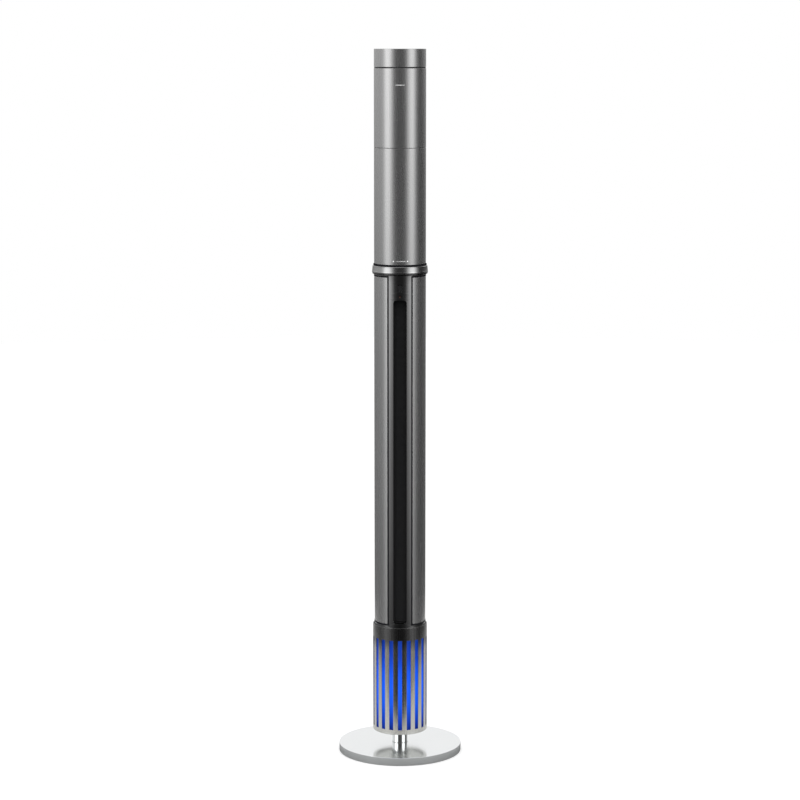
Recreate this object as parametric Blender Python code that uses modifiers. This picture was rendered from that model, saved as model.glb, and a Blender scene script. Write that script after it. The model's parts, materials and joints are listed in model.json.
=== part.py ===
"""Slim column fan: a round weighted base, a chrome pole, a lit slotted cage, a long
cross-flow outlet column, a turning control ring and two sleeves under a lift-off cap.

Run with: blender --background --python part.py
Metres, +Z up, the fan faces -Y, and the origin is the middle of the base's underside.
"""

import math

import bmesh
import bpy
from mathutils import Matrix, Vector

# Driving dimensions
HEIGHT = 1.200
GAP = 0.0003
SEGMENTS = 32

BASE_R = 0.1048
BASE_LOW = 0.0003
BASE_TOP = 0.0137
BASE_WALL = 0.0015
POLE_R = 0.01365
SPINDLE_R = 0.0055

CAGE_R = 0.04640
CAGE_WALL = 0.0020
CAGE_LOW = 0.0370
CAGE_TOP = 0.2238
CAGE_SLOTS = 19
CAGE_SLOT_W = 0.0070
CAGE_SLOT_LOW = 0.0455
CAGE_SLOT_TOP = 0.2020

COLUMN_R = 0.0436
COLUMN_TOP = 0.8283
FRAME_INNER = 0.0385
SHOULDER = 0.2272
FLARE_LOW = 0.8241
FLARE_R = 0.0472
PANEL_WALL = 0.0016
SEAT_R = COLUMN_R - PANEL_WALL - 0.00035
SEAL_R = 0.0441
PANEL_LOW = 0.2300
PANEL_TOP = 0.8218

# Edges of the column's walls, in degrees from the front
STRIP_EDGE = 25.6
GASKET_EDGES = (25.95, 28.95)
PANEL_EDGES = (29.3, 148.2)
POST_EDGES = (141.0, 156.0)
REAR_EDGE = 150.3

# Rear intake, and the apron under it
GRILLE_LOW = 0.2700
GRILLE_COLUMNS = 6
GRILLE_ROWS = 6
GRILLE_SLOT_W = 0.0038
GRILLE_SCREWS = ((-153.4, 0.8080), (153.4, 0.8080))

OUTLET_HALF_W = 0.0114
OUTLET_LOW = 0.2315
OUTLET_TOP = 0.7838
OUTLET_CORNER = 0.0045
GUARD_HALF_W = 0.0146
GUARD_LOW = 0.2311
GUARD_TOP = 0.7860
GUARD_WINDOWS = 24

RING_R = 0.0470
RING_CROWN_R = 0.0462
RING_LOW = 0.8287
RING_TOP = 0.8398
RING_SEAL_R = 0.0450
SLEEVE_WALL = 0.0012
SLEEVE_LOW = 0.8431
SLEEVE_SPLIT = 1.0368
SLEEVE_TOP = 1.1680
CAP_R = 0.0435
CAP_LOW = 1.1700

# Cross-flow fan
FAN_Y = 0.0050
FAN_R = 0.0240
FAN_LOW = 0.2480
FAN_TOP = 0.7760
FAN_BLADES = 10
FAN_RINGS = 2
FAN_DISC = 0.0020
SHAFT_R = 0.0025

# Oscillation gearing, with the sun gear fixed on the spindle
GEAR_MODULE = 0.0010
SUN_TEETH = 36
PINION_TEETH = 12
GEAR_LOW = 0.2050
GEAR_TOP = 0.2112
GEAR_THINNING = 0.00005
GEAR_CENTRES = GEAR_MODULE * (SUN_TEETH + PINION_TEETH) / 2

# Front controls
BUTTON_Z = 0.8038
BUTTON_HALF_W = 0.0030
BUTTON_HALF_H = 0.0058
LENS_Z = 0.7900
LENS_R = 0.0015

# Screws between the cage and the column, in degrees from the front
BOSS_ANGLES = (20, 160, 250)
BOSS_R = 0.0376

# Power inlet at the back of the column's foot, and the wiring up from it
INLET_Z = 0.2550
INLET_HALF_W = 0.0079
INLET_HALF_H = 0.0042
INLET_WALL = 0.0020
LOOM_X = 0.0325
LOOM_Y = 0.0125
LOOM_R = 0.0018

COLLECTION = bpy.data.collections.new("tower_fan")
CUTTERS = bpy.data.collections.new("cutters")

# name: (colour, roughness, metallic)
FINISHES = {
    "gunmetal": ((0.36, 0.36, 0.37), 0.32, 1.0),
    "dark_metal": ((0.08, 0.08, 0.085), 0.28, 0.9),
    "nickel": ((0.58, 0.57, 0.53), 0.35, 1.0),
    "steel": ((0.62, 0.62, 0.62), 0.30, 1.0),
    "chrome": ((0.85, 0.86, 0.87), 0.05, 1.0),
    "base_polish": ((0.84, 0.86, 0.87), 0.12, 1.0),
    "iron": ((0.18, 0.18, 0.19), 0.60, 0.8),
    "black_plastic": ((0.02, 0.02, 0.022), 0.45, 0.0),
    "grey_plastic": ((0.30, 0.31, 0.32), 0.50, 0.0),
    "white_plastic": ((0.80, 0.80, 0.78), 0.40, 0.0),
    "blue_diffuser": ((0.05, 0.20, 0.95), 0.35, 0.0),
    "rubber": ((0.03, 0.03, 0.03), 0.85, 0.0),
    "circuit_board": ((0.02, 0.16, 0.07), 0.45, 0.0),
    "brass": ((0.70, 0.52, 0.24), 0.30, 1.0),
    "felt": ((0.55, 0.54, 0.50), 0.95, 0.0),
    "smoked_lens": ((0.05, 0.02, 0.02), 0.10, 0.0),
}


# Tools

def finish(obj, slot):
    """Gives the object a material of its own in the named finish."""
    colour, roughness, metallic = FINISHES[slot]
    material = bpy.data.materials.new(obj.name)
    material.use_nodes = True
    shader = material.node_tree.nodes["Principled BSDF"]
    shader.inputs["Base Color"].default_value = (*colour, 1.0)
    shader.inputs["Roughness"].default_value = roughness
    shader.inputs["Metallic"].default_value = metallic
    obj.data.materials.clear()
    obj.data.materials.append(material)
    return obj


def place(name, mesh, slot, x=0.0, y=0.0):
    """Links a mesh as a part, or as a hidden cutter when it has no finish."""
    obj = bpy.data.objects.new(name, mesh)
    obj.location = (x, y, 0.0)
    mesh.shade_smooth()
    mesh.set_sharp_from_angle(angle=math.radians(35))
    if slot:
        COLLECTION.objects.link(obj)
        return finish(obj, slot)
    CUTTERS.objects.link(obj)
    obj.hide_render = True
    obj.display_type = "WIRE"
    return obj


def turned(name, profile, slot=None, x=0.0, y=0.0, segments=SEGMENTS):
    """A solid of revolution: (radius, height) points, down its outer side.

    A profile that starts on the axis stays open there, and any other is a closed ring."""
    count = len(profile)
    edges = [(i, i + 1) for i in range(count - 1)]
    if profile[0][0] > 0:
        edges.append((count - 1, 0))
    mesh = bpy.data.meshes.new(name)
    mesh.from_pydata([(r, 0.0, z) for r, z in profile], edges, [])
    obj = place(name, mesh, slot, x, y)
    screw = obj.modifiers.new("Turn", "SCREW")
    screw.steps = segments
    screw.render_steps = segments
    screw.use_merge_vertices = True
    screw.merge_threshold = 0.00001
    screw.use_smooth_shade = True
    return obj


def tube(name, inner, outer, low, top, slot=None, **where):
    profile = [(inner, top), (outer, top), (outer, low), (inner, low)]
    return turned(name, profile, slot, **where)


def disc(name, radius, low, top, slot=None, **where):
    profile = [(0.0, top), (radius, top), (radius, low), (0.0, low)]
    return turned(name, profile, slot, **where)


def mesh_of(name, shape):
    """A mesh data block from a bmesh, with its faces pointing out."""
    bmesh.ops.recalc_face_normals(shape, faces=shape.faces)
    mesh = bpy.data.meshes.new(name)
    shape.to_mesh(mesh)
    shape.free()
    return mesh


def add_box(shape, low, high, turn=0.0):
    """Adds a box to a bmesh, turned about +Z through the origin by turn degrees."""
    low, high = Vector(low), Vector(high)
    size = Matrix.Diagonal((*(high - low), 1.0))
    matrix = Matrix.Rotation(math.radians(turn), 4, "Z")
    matrix = matrix @ Matrix.Translation((low + high) / 2) @ size
    bmesh.ops.create_cube(shape, size=1.0, matrix=matrix)


def box(name, low, high, slot=None):
    shape = bmesh.new()
    add_box(shape, low, high)
    return place(name, mesh_of(name, shape), slot)


def add_rod(shape, start, end, radius, segments=16):
    """Adds a cylinder between two points to a bmesh."""
    start, end = Vector(start), Vector(end)
    along = end - start
    turn = along.to_track_quat("Z", "Y").to_matrix().to_4x4()
    matrix = Matrix.Translation((start + end) / 2) @ turn
    bmesh.ops.create_cone(
        shape,
        cap_ends=True,
        segments=segments,
        radius1=radius,
        radius2=radius,
        depth=along.length,
        matrix=matrix,
    )


def rod(name, start, end, radius, slot=None, segments=16):
    shape = bmesh.new()
    add_rod(shape, start, end, radius, segments)
    return place(name, mesh_of(name, shape), slot)


def prism(name, outlines, low, top, slot=None, x=0.0, y=0.0):
    """A flat outline, with any further outlines as its holes, extruded along Z."""
    curve = bpy.data.curves.new(name, "CURVE")
    curve.dimensions = "2D"
    curve.fill_mode = "BOTH"
    curve.extrude = (top - low) / 2
    for outline in outlines:
        spline = curve.splines.new("POLY")
        spline.points.add(len(outline) - 1)
        spline.use_cyclic_u = True
        for point, (px, py) in zip(spline.points, outline):
            point.co = (px, py, 0.0, 1.0)
    maker = bpy.data.objects.new(name + "_outline", curve)
    bpy.context.scene.collection.objects.link(maker)
    bpy.context.view_layer.update()
    graph = bpy.context.evaluated_depsgraph_get()
    filled = bpy.data.meshes.new_from_object(maker.evaluated_get(graph))
    bpy.data.objects.remove(maker)
    shape = bmesh.new()
    shape.from_mesh(filled)
    bmesh.ops.remove_doubles(shape, verts=shape.verts, dist=0.000001)
    bmesh.ops.translate(shape, verts=shape.verts, vec=(0.0, 0.0, (low + top) / 2))
    return place(name, mesh_of(name, shape), slot, x, y)


def combine(obj, other, operation):
    other.hide_render = True
    other.display_type = "WIRE"
    modifier = obj.modifiers.new(other.name, "BOOLEAN")
    modifier.operation = operation
    modifier.object = other
    return obj


def cut(obj, other):
    return combine(obj, other, "DIFFERENCE")


def join(obj, other):
    return combine(obj, other, "UNION")


def at(angle, radius):
    """The point at this radius, with the angle in degrees from the front towards +X."""
    turn = math.radians(angle)
    return radius * math.sin(turn), -radius * math.cos(turn)


def arc(start, end, radius, step=7.5):
    count = max(1, round(abs(end - start) / step))
    return [at(start + (end - start) * i / count, radius) for i in range(count + 1)]


def band(start, end, inner, outer):
    """The outline of a curved wall between two angles and two radii."""
    return arc(start, end, outer) + arc(end, start, inner)


def circle(radius, count=16):
    turn = 2 * math.pi / count
    return [(radius * math.cos(turn * i), radius * math.sin(turn * i)) for i in range(count)]


def pill(half_width, half_height, corner, steps=5):
    """A rectangle with round corners, as (across, up) points about its centre."""
    points = []
    for quarter, (sx, sy) in enumerate(((1, 1), (-1, 1), (-1, -1), (1, -1))):
        for i in range(steps + 1):
            turn = math.radians(90 * quarter + 90 * i / steps)
            across = sx * (half_width - corner) + corner * math.cos(turn)
            points.append((across, sy * (half_height - corner) + corner * math.sin(turn)))
    return points


def front_plug(name, outline, z, front, back, slot=None):
    """An outline standing in the XZ plane, extruded along Y between front and back."""
    obj = prism(name, [outline], -back, -front, slot)
    upright = Matrix.Rotation(math.radians(90), 4, "X")
    obj.data.transform(upright)
    obj.location.z = z
    return obj


# Base

def make_base():
    bore = SPINDLE_R + GAP
    tube("foot_ring", 0.084, 0.096, 0.0, 0.0021, "rubber")
    shell = [
        (bore, BASE_TOP),
        (BASE_R - 0.0005, BASE_TOP),
        (BASE_R, BASE_TOP - 0.0005),
        (BASE_R, BASE_LOW),
        (BASE_R - BASE_WALL, BASE_LOW),
        (BASE_R - BASE_WALL, BASE_TOP - BASE_WALL),
        (bore, BASE_TOP - BASE_WALL),
    ]
    turned("base_cover", shell, "base_polish", segments=48)
    weight_top = BASE_TOP - BASE_WALL - GAP
    weight_r = BASE_R - BASE_WALL - 0.0005
    weight = [
        (bore, weight_top),
        (weight_r, weight_top),
        (weight_r, 0.0024),
        (0.0160, 0.0024),
        (0.0160, 0.0062),
        (bore, 0.0062),
    ]
    turned("base_weight", weight, "iron", segments=48)
    prism("pole_nut", [circle(0.0098, 6), circle(bore)], 0.0026, 0.0059, "steel")


def make_pole():
    bore = SPINDLE_R + GAP
    tube("pole", POLE_R - 0.002, POLE_R, BASE_TOP + GAP, 0.1960, "chrome", segments=24)
    plug = [
        (bore, 0.2003),
        (POLE_R - 0.0005, 0.2003),
        (POLE_R - 0.0005, 0.1963),
        (POLE_R - 0.0023, 0.1963),
        (POLE_R - 0.0023, 0.1880),
        (bore, 0.1880),
    ]
    turned("pole_plug", plug, "steel", segments=24)
    disc("spindle", SPINDLE_R, 0.0028, 0.2240, "steel", segments=20)
    tube("thrust_washer", bore, 0.0110, 0.2118, 0.2130, "brass", segments=24)
    tube("pivot_circlip", bore, 0.0085, 0.2213, 0.2223, "steel", segments=20)


def gear_outline(teeth, tip, root, phase):
    """A gear's outline, with involute flanks thinned by a little for backlash."""
    pitch = GEAR_MODULE * teeth / 2
    pressure = math.radians(20)
    base = pitch * math.cos(pressure)
    involute = math.tan(pressure) - pressure
    radii = [root, tip]
    points = []

    def half_angle(radius):
        turn = math.acos(min(1.0, base / radius))
        width = math.pi / (2 * teeth) + involute - (math.tan(turn) - turn)
        return width - GEAR_THINNING / pitch

    for tooth in range(teeth):
        middle = phase + 2 * math.pi * tooth / teeth
        rising = [(r, middle - half_angle(r)) for r in radii]
        falling = [(r, middle + half_angle(r)) for r in reversed(radii)]
        points += [(r * math.cos(a), r * math.sin(a)) for r, a in rising + falling]
    return points


def make_gearing():
    """The sun gear has a tooth towards +X, where the pinion has a space."""
    sun_pitch = GEAR_MODULE * SUN_TEETH / 2
    outline = gear_outline(
        SUN_TEETH, sun_pitch + 0.00085, sun_pitch - 0.00115, 0.0
    )
    bore = SPINDLE_R + GAP
    sun = prism("sun_gear", [outline, circle(bore)], GEAR_LOW, GEAR_TOP, "white_plastic")
    join(sun, tube("sun_hub", bore + 0.0002, 0.0090, 0.2006, GEAR_LOW + 0.001, segments=16))
    pinion_pitch = GEAR_MODULE * PINION_TEETH / 2
    outline = gear_outline(
        PINION_TEETH,
        pinion_pitch + 0.00085,
        pinion_pitch - 0.00115,
        math.pi / PINION_TEETH,
    )
    pinion = prism(
        "drive_pinion", [outline], GEAR_LOW, GEAR_TOP, "white_plastic", x=GEAR_CENTRES
    )
    stub = disc("pinion_stub", SHAFT_R, 0.2100, 0.2188, x=GEAR_CENTRES, segments=12)
    join(pinion, stub)


# Lit cage

def make_cage():
    inner = CAGE_R - CAGE_WALL
    sleeve = [
        (inner, CAGE_TOP),
        (CAGE_R, CAGE_TOP),
        (CAGE_R, CAGE_LOW + 0.0012),
        (CAGE_R - 0.0012, CAGE_LOW),
        (0.0405, CAGE_LOW),
        (0.0405, CAGE_LOW + 0.0020),
        (inner, CAGE_LOW + 0.0020),
    ]
    cage = turned("cage_sleeve", sleeve, "nickel", segments=2 * CAGE_SLOTS)
    slots = bmesh.new()
    half = CAGE_SLOT_W / 2
    for i in range(CAGE_SLOTS):
        add_box(
            slots,
            (-half, -0.055, CAGE_SLOT_LOW),
            (half, -0.040, CAGE_SLOT_TOP),
            turn=360 * i / CAGE_SLOTS,
        )
    cut(cage, place("cage_slots", mesh_of("cage_slots", slots), None))

    floor_top = 0.0435
    tube("cage_floor", 0.0158, inner - GAP, 0.0393, floor_top, "nickel")
    bush = [
        (POLE_R + 0.0002, 0.0452),
        (0.0180, 0.0452),
        (0.0180, floor_top + GAP),
        (0.0155, floor_top + GAP),
        (0.0155, 0.0380),
        (POLE_R + 0.0002, 0.0380),
    ]
    turned("floor_bush", bush, "white_plastic", segments=24)
    tube("light_diffuser", 0.0410, 0.0425, floor_top + GAP, 0.2148, "blue_diffuser")
    hexagon = circle(0.0215, 6)
    prism("led_column", [hexagon, circle(0.0150, 24)], 0.0456, 0.2030, "white_plastic")

    bulkhead = [
        (0.0083, 0.2192),
        (0.0410, 0.2192),
        (0.0410, CAGE_TOP),
        (inner - GAP, CAGE_TOP),
        (inner - GAP, 0.2152),
        (0.0083, 0.2152),
    ]
    plate = turned("lower_bulkhead", bulkhead, "black_plastic")
    cut(plate, rod("pinion_hole", (GEAR_CENTRES, 0, 0.21), (GEAR_CENTRES, 0, 0.225), 0.0033))
    cut(plate, boss_group("bulkhead_screw_holes", 0.00155, 0.210, 0.222))
    bush = [
        (SPINDLE_R + 0.00015, 0.2210),
        (0.0080, 0.2210),
        (0.0080, 0.2149),
        (0.0100, 0.2149),
        (0.0100, 0.2133),
        (SPINDLE_R + 0.00015, 0.2133),
    ]
    turned("pivot_bush", bush, "brass", segments=24)

    motor_x, motor_y = 0.0240, 0.0060
    stepper = disc(
        "oscillation_motor", 0.0120, 0.2195, 0.2370, "steel", x=motor_x, y=motor_y, segments=24
    )
    ears = box("motor_ears", (0.0215, -0.0110, 0.2195), (0.0265, 0.0230, 0.2205))
    join(stepper, ears)


def boss_group(name, radius, low, top):
    """Upright cylinders at the places of the screws between cage and column."""
    shape = bmesh.new()
    for angle in BOSS_ANGLES:
        x, y = at(angle, BOSS_R)
        add_rod(shape, (x, y, low), (x, y, top), radius, segments=8)
    return place(name, mesh_of(name, shape), None)


def make_column_screws():
    for number, angle in enumerate(BOSS_ANGLES, 1):
        x, y = at(angle, BOSS_R)
        screw = [
            (0.0, 0.2290),
            (0.00125, 0.2290),
            (0.00125, 0.2149),
            (0.00250, 0.2149),
            (0.00250, 0.2131),
            (0.0, 0.2131),
        ]
        turned(f"column_screw_{number}", screw, "steel", x=x, y=y, segments=12)


# Outlet column

def make_column_frame():
    """Foot ring, front strip with its flanges, rear posts and the flared top ring."""
    seat_top = PANEL_LOW + 0.0008
    flare_seat = PANEL_TOP - 0.0006
    foot_low = CAGE_TOP + GAP
    spigot_low = 0.2195
    foot = [
        (FRAME_INNER, seat_top),
        (SEAT_R, seat_top),
        (SEAT_R, SHOULDER),
        (COLUMN_R, SHOULDER),
        (COLUMN_R, foot_low),
        (0.0407, foot_low),
        (0.0407, spigot_low),
        (FRAME_INNER, spigot_low),
    ]
    frame = turned("column_frame", foot, "dark_metal")
    flare = [
        (FRAME_INNER, COLUMN_TOP),
        (FLARE_R, COLUMN_TOP),
        (FLARE_R, COLUMN_TOP - 0.0006),
        (COLUMN_R, FLARE_LOW),
        (SEAT_R, FLARE_LOW),
        (SEAT_R, flare_seat),
        (FRAME_INNER, flare_seat),
    ]
    join(frame, turned("frame_flare", flare))
    flange = 33.0
    strip = arc(-STRIP_EDGE, STRIP_EDGE, COLUMN_R, 6.4)
    strip += arc(STRIP_EDGE, flange, 0.0406) + arc(flange, -flange, 0.0389)
    strip += arc(-flange, -STRIP_EDGE, 0.0406)
    join(frame, prism("frame_strip", [strip], SHOULDER - 0.0020, FLARE_LOW + 0.0010))
    for side in (-1, 1):
        post = band(side * POST_EDGES[0], side * POST_EDGES[1], 0.0388, SEAT_R)
        join(frame, prism(f"frame_post_{side}", [post], seat_top - 0.002, flare_seat + 0.001))
    apron = band(REAR_EDGE, 360 - REAR_EDGE, 0.0395, COLUMN_R)
    join(frame, prism("frame_apron", [apron], SHOULDER - 0.0015, GRILLE_LOW - 0.001))
    join(frame, boss_group("frame_bosses", 0.0030, spigot_low, 0.2300))

    middle = (OUTLET_LOW + OUTLET_TOP) / 2
    half = (OUTLET_TOP - OUTLET_LOW) / 2
    slot = pill(OUTLET_HALF_W, half, OUTLET_CORNER, 3)
    cut(frame, front_plug("outlet_cut", slot, middle, -0.050, -0.030))
    hole = pill(BUTTON_HALF_W + GAP, BUTTON_HALF_H + GAP, BUTTON_HALF_W + GAP, 3)
    cut(frame, front_plug("button_cut", hole, BUTTON_Z, -0.050, -0.030))
    cut(frame, rod("lens_cut", (0, -0.050, LENS_Z), (0, -0.030, LENS_Z), LENS_R + GAP))
    half_w, half_h = INLET_HALF_W + INLET_WALL + GAP, INLET_HALF_H + INLET_WALL + GAP
    low = (-half_w, 0.035, INLET_Z - half_h)
    high = (half_w, 0.050, INLET_Z + half_h)
    cut(frame, box("inlet_cut", low, high))
    cut(frame, boss_group("frame_screw_holes", 0.00155, 0.210, 0.2294))
    cut(frame, grille_screw_group("post_screw_holes", 0.0016))


def make_side_panels():
    """Curved side panels, each with a C-shaped rubber seal in the seams round it."""
    low, top = SHOULDER + GAP, FLARE_LOW - GAP
    for side, word in ((-1, "left"), (1, "right")):
        front, rear = (side * edge for edge in PANEL_EDGES)
        panel = band(front, rear, COLUMN_R - PANEL_WALL, COLUMN_R)
        prism(f"side_panel_{word}", [panel], PANEL_LOW, PANEL_TOP, "gunmetal")
        front, rear = (side * edge for edge in GASKET_EDGES)
        keel = band(front + side * 0.2, rear - side * 0.2, 0.0409, 0.0425)
        seal = prism(
            f"gasket_{word}", [keel], PANEL_LOW + 0.0011, PANEL_TOP - 0.0009, "rubber"
        )
        face = band(front, rear, SEAT_R + GAP + 0.0002, COLUMN_R - 0.0008)
        join(seal, prism(f"gasket_face_{word}", [face], low + 0.0008, top - 0.0008))
        arm = band(front + side * 0.4, side * PANEL_EDGES[1], SEAT_R + GAP, SEAL_R)
        join(seal, prism(f"gasket_foot_{word}", [arm], low, PANEL_LOW - GAP))
        join(seal, prism(f"gasket_crown_{word}", [arm], PANEL_TOP + GAP, top))


def windows(name, low, high, count, pitch, turn=0.0):
    """A column of equal boxes, one pitch apart along Z."""
    shape = bmesh.new()
    for i in range(count):
        rise = Vector((0.0, 0.0, pitch * i))
        add_box(shape, Vector(low) + rise, Vector(high) + rise, turn)
    return place(name, mesh_of(name, shape), None)


def make_outlet_guard():
    """A louvred guard behind the outlet slot."""
    low = (-GUARD_HALF_W, -0.0356, GUARD_LOW)
    high = (GUARD_HALF_W, -0.0331, GUARD_TOP)
    guard = box("outlet_guard", low, high, "black_plastic")
    rail = 0.0040
    pitch = (GUARD_TOP - GUARD_LOW - rail) / GUARD_WINDOWS
    start = (-0.0120, -0.040, GUARD_LOW + rail)
    end = (0.0120, -0.030, GUARD_LOW + pitch)
    cut(guard, windows("guard_windows", start, end, GUARD_WINDOWS, pitch))


def grille_screw_group(name, radius):
    shape = bmesh.new()
    for angle, z in GRILLE_SCREWS:
        add_rod(shape, (*at(angle, 0.035), z), (*at(angle, 0.047), z), radius, segments=8)
    return place(name, mesh_of(name, shape), None)


def make_rear_grille():
    """Rear intake: a curved plate with rows of upright slots."""
    plate = band(REAR_EDGE, 360 - REAR_EDGE, COLUMN_R - PANEL_WALL, COLUMN_R)
    grille = prism("rear_grille", [plate], GRILLE_LOW, PANEL_TOP, "dark_metal")
    pitch = (PANEL_TOP - GRILLE_LOW - 0.030) / GRILLE_ROWS
    low = (-GRILLE_SLOT_W / 2, 0.038, GRILLE_LOW + 0.0200)
    high = (GRILLE_SLOT_W / 2, 0.048, GRILLE_LOW + 0.0150 + pitch)
    for column in range(GRILLE_COLUMNS):
        angle = 7.2 * (column - (GRILLE_COLUMNS - 1) / 2)
        name = f"grille_slots_{column + 1}"
        cut(grille, windows(name, low, high, GRILLE_ROWS, pitch, angle))
    cut(grille, grille_screw_group("grille_screw_holes", 0.0016))
    for number, (angle, z) in enumerate(GRILLE_SCREWS, 1):
        screw = rod(
            f"grille_screw_{number}",
            (*at(angle, 0.0392), z),
            (*at(angle, 0.0441), z),
            0.0013,
            "steel",
            segments=12,
        )
        head = rod(
            f"grille_screw_head_{number}",
            (*at(angle, COLUMN_R + GAP), z),
            (*at(angle, 0.0446), z),
            0.0026,
            segments=12,
        )
        join(screw, head)


def fan_point(angle, radius):
    """A point about the cross-flow fan's axis, with the angle in degrees from +X."""
    turn = math.radians(angle)
    return radius * math.cos(turn), FAN_Y + radius * math.sin(turn)


def make_air_path():
    """The volute wall on the left, the vortex tongue on the right, and the end plates."""
    wall = 0.0012
    start, end = 118, 236
    steps = 10
    spread = (0.0345 - 0.0262) / steps
    turn = (end - start) / steps
    inside = [fan_point(start + turn * i, 0.0262 + spread * i) for i in range(steps + 1)]
    outside = [
        fan_point(start + turn * i, 0.0262 + wall + spread * i) for i in range(steps + 1)
    ]
    outline = inside + [(-0.0125, -0.0325), (-0.0140, -0.0325)] + outside[::-1]
    prism("scroll_wall", [outline], 0.2440, 0.7800, "black_plastic")
    nose = [fan_point(-38 - 6 * i, 0.0262) for i in range(4)]
    tongue = nose + [(0.0125, -0.0325), (0.0145, -0.0325), (0.0285, -0.0200), (0.0270, -0.0100)]
    prism("vortex_tongue", [tongue[::-1]], 0.2440, 0.7800, "black_plastic")

    plate = disc("bearing_plate", 0.0380, 0.2405, 0.2435, "black_plastic")
    cut(plate, disc("bearing_hole", 0.0053, 0.2350, 0.2500, y=FAN_Y, segments=20))
    cut(plate, box("guard_notch", (-0.0150, -0.0400, 0.235), (0.0150, -0.0328, 0.250)))
    tube("lower_bearing", SHAFT_R - 0.0003, 0.0050, 0.2400, 0.2440, "brass", y=FAN_Y, segments=20)
    top = disc("upper_plate", 0.0380, 0.7864, 0.7894, "black_plastic")
    cut(top, disc("coupling_hole", 0.0120, 0.7800, 0.7950, y=FAN_Y, segments=20))
    cut(top, loom_hole("upper_plate_loom_hole", 0.780, 0.795))
    cut(top, box("board_slot", (-0.0145, -0.0400, 0.780), (0.0145, -0.0330, 0.795)))


def make_impeller():
    """Cross-flow wheel: end disc, blades and stiffening rings as one moulding."""
    lower = [
        (0.0, FAN_LOW + FAN_DISC),
        (FAN_R, FAN_LOW + FAN_DISC),
        (FAN_R, FAN_LOW),
        (0.0020, FAN_LOW),
        (0.0020, 0.2395),
        (0.0, 0.2395),
    ]
    wheel = turned("impeller", lower, "black_plastic", y=FAN_Y, segments=20)
    blades = bmesh.new()
    for i in range(FAN_BLADES):
        turn = 360 * (i + 0.5) / FAN_BLADES
        low = (-0.0005, -(FAN_R - 0.0004), FAN_LOW + FAN_DISC / 2)
        high = (0.0005, -0.0170, FAN_TOP - FAN_DISC / 2)
        add_box(blades, low, high, turn)
    blade_set = place("fan_blades", mesh_of("fan_blades", blades), None, y=FAN_Y)
    join(wheel, blade_set)
    pitch = (FAN_TOP - FAN_LOW - FAN_DISC) / (FAN_RINGS + 1)
    for i in range(1, FAN_RINGS + 1):
        low = FAN_LOW + pitch * i
        ring = tube(f"fan_ring_{i}", 0.0160, FAN_R, low, low + FAN_DISC, y=FAN_Y, segments=20)
        join(wheel, ring)
    upper = [
        (0.0, FAN_TOP + 0.0010),
        (0.0060, FAN_TOP + 0.0010),
        (0.0060, FAN_TOP),
        (FAN_R, FAN_TOP),
        (FAN_R, FAN_TOP - FAN_DISC),
        (0.0, FAN_TOP - FAN_DISC),
    ]
    join(wheel, turned("fan_top", upper, y=FAN_Y, segments=20))

    coupling_low = FAN_TOP + 0.0010 + GAP
    tube(
        "shaft_coupling", SHAFT_R + GAP, 0.0080, coupling_low, 0.7920, "rubber",
        y=FAN_Y, segments=20,
    )
    disc("motor_shaft", SHAFT_R, 0.7780, 0.8580, "steel", y=FAN_Y, segments=16)


def make_front_controls():
    """Power button with its switch on the control board, and the status lens."""
    face = pill(BUTTON_HALF_W, BUTTON_HALF_H, BUTTON_HALF_W, 3)
    button = front_plug("power_button", face, BUTTON_Z, -0.0434, -0.0379, "black_plastic")
    lip = pill(0.0042, 0.0070, 0.0020, 2)
    join(button, front_plug("button_lip", lip, BUTTON_Z, -0.0383, -0.0374))
    rod(
        "status_lens", (0, -0.0432, LENS_Z), (0, -0.0390, LENS_Z), LENS_R, "smoked_lens",
        segments=16,
    )
    box("control_board", (-0.0125, -0.0348, 0.7866), (0.0125, -0.0332, 0.8180), "circuit_board")
    switch = box(
        "button_switch", (-0.0030, -0.0361, BUTTON_Z - 0.003),
        (0.0030, -0.0351, BUTTON_Z + 0.003), "black_plastic",
    )
    plunger = rod(
        "switch_plunger", (0, -0.0365, BUTTON_Z), (0, -0.0356, BUTTON_Z), 0.0014, segments=10
    )
    join(switch, plunger)


# Neck, ring and sleeves

def loom_hole(name, low, top):
    return rod(name, (LOOM_X, LOOM_Y, low), (LOOM_X, LOOM_Y, top), 0.0030, segments=12)


def make_neck():
    inner = 0.0380
    sleeve_inner = COLUMN_R - SLEEVE_WALL
    neck = [
        (inner, 0.8460),
        (sleeve_inner - GAP, 0.8460),
        (sleeve_inner - GAP, 0.8430),
        (0.0409, 0.8430),
        (0.0409, COLUMN_TOP + GAP),
        (inner, COLUMN_TOP + GAP),
    ]
    turned("neck_tube", neck, "black_plastic")
    tube("ring_seal", 0.0412, RING_SEAL_R, RING_TOP + 0.0004, 0.8427, "rubber")

    bore = 0.0413
    ring = [
        (bore, RING_TOP),
        (RING_CROWN_R - 0.0006, RING_TOP),
        (RING_CROWN_R, RING_TOP - 0.0006),
        (RING_R, RING_LOW + 0.0004),
        (RING_R - 0.0004, RING_LOW),
        (bore, RING_LOW),
    ]
    knob = turned("control_ring", ring, "steel", segments=48)
    low = (-0.0033, 0.0400, 0.8313)
    high = (0.0033, 0.0440, 0.8360)
    cut(knob, box("magnet_pocket", low, high))
    box("ring_magnet", (-0.0030, 0.0417, 0.8316), (0.0030, 0.0437, 0.8357), "iron")


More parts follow.
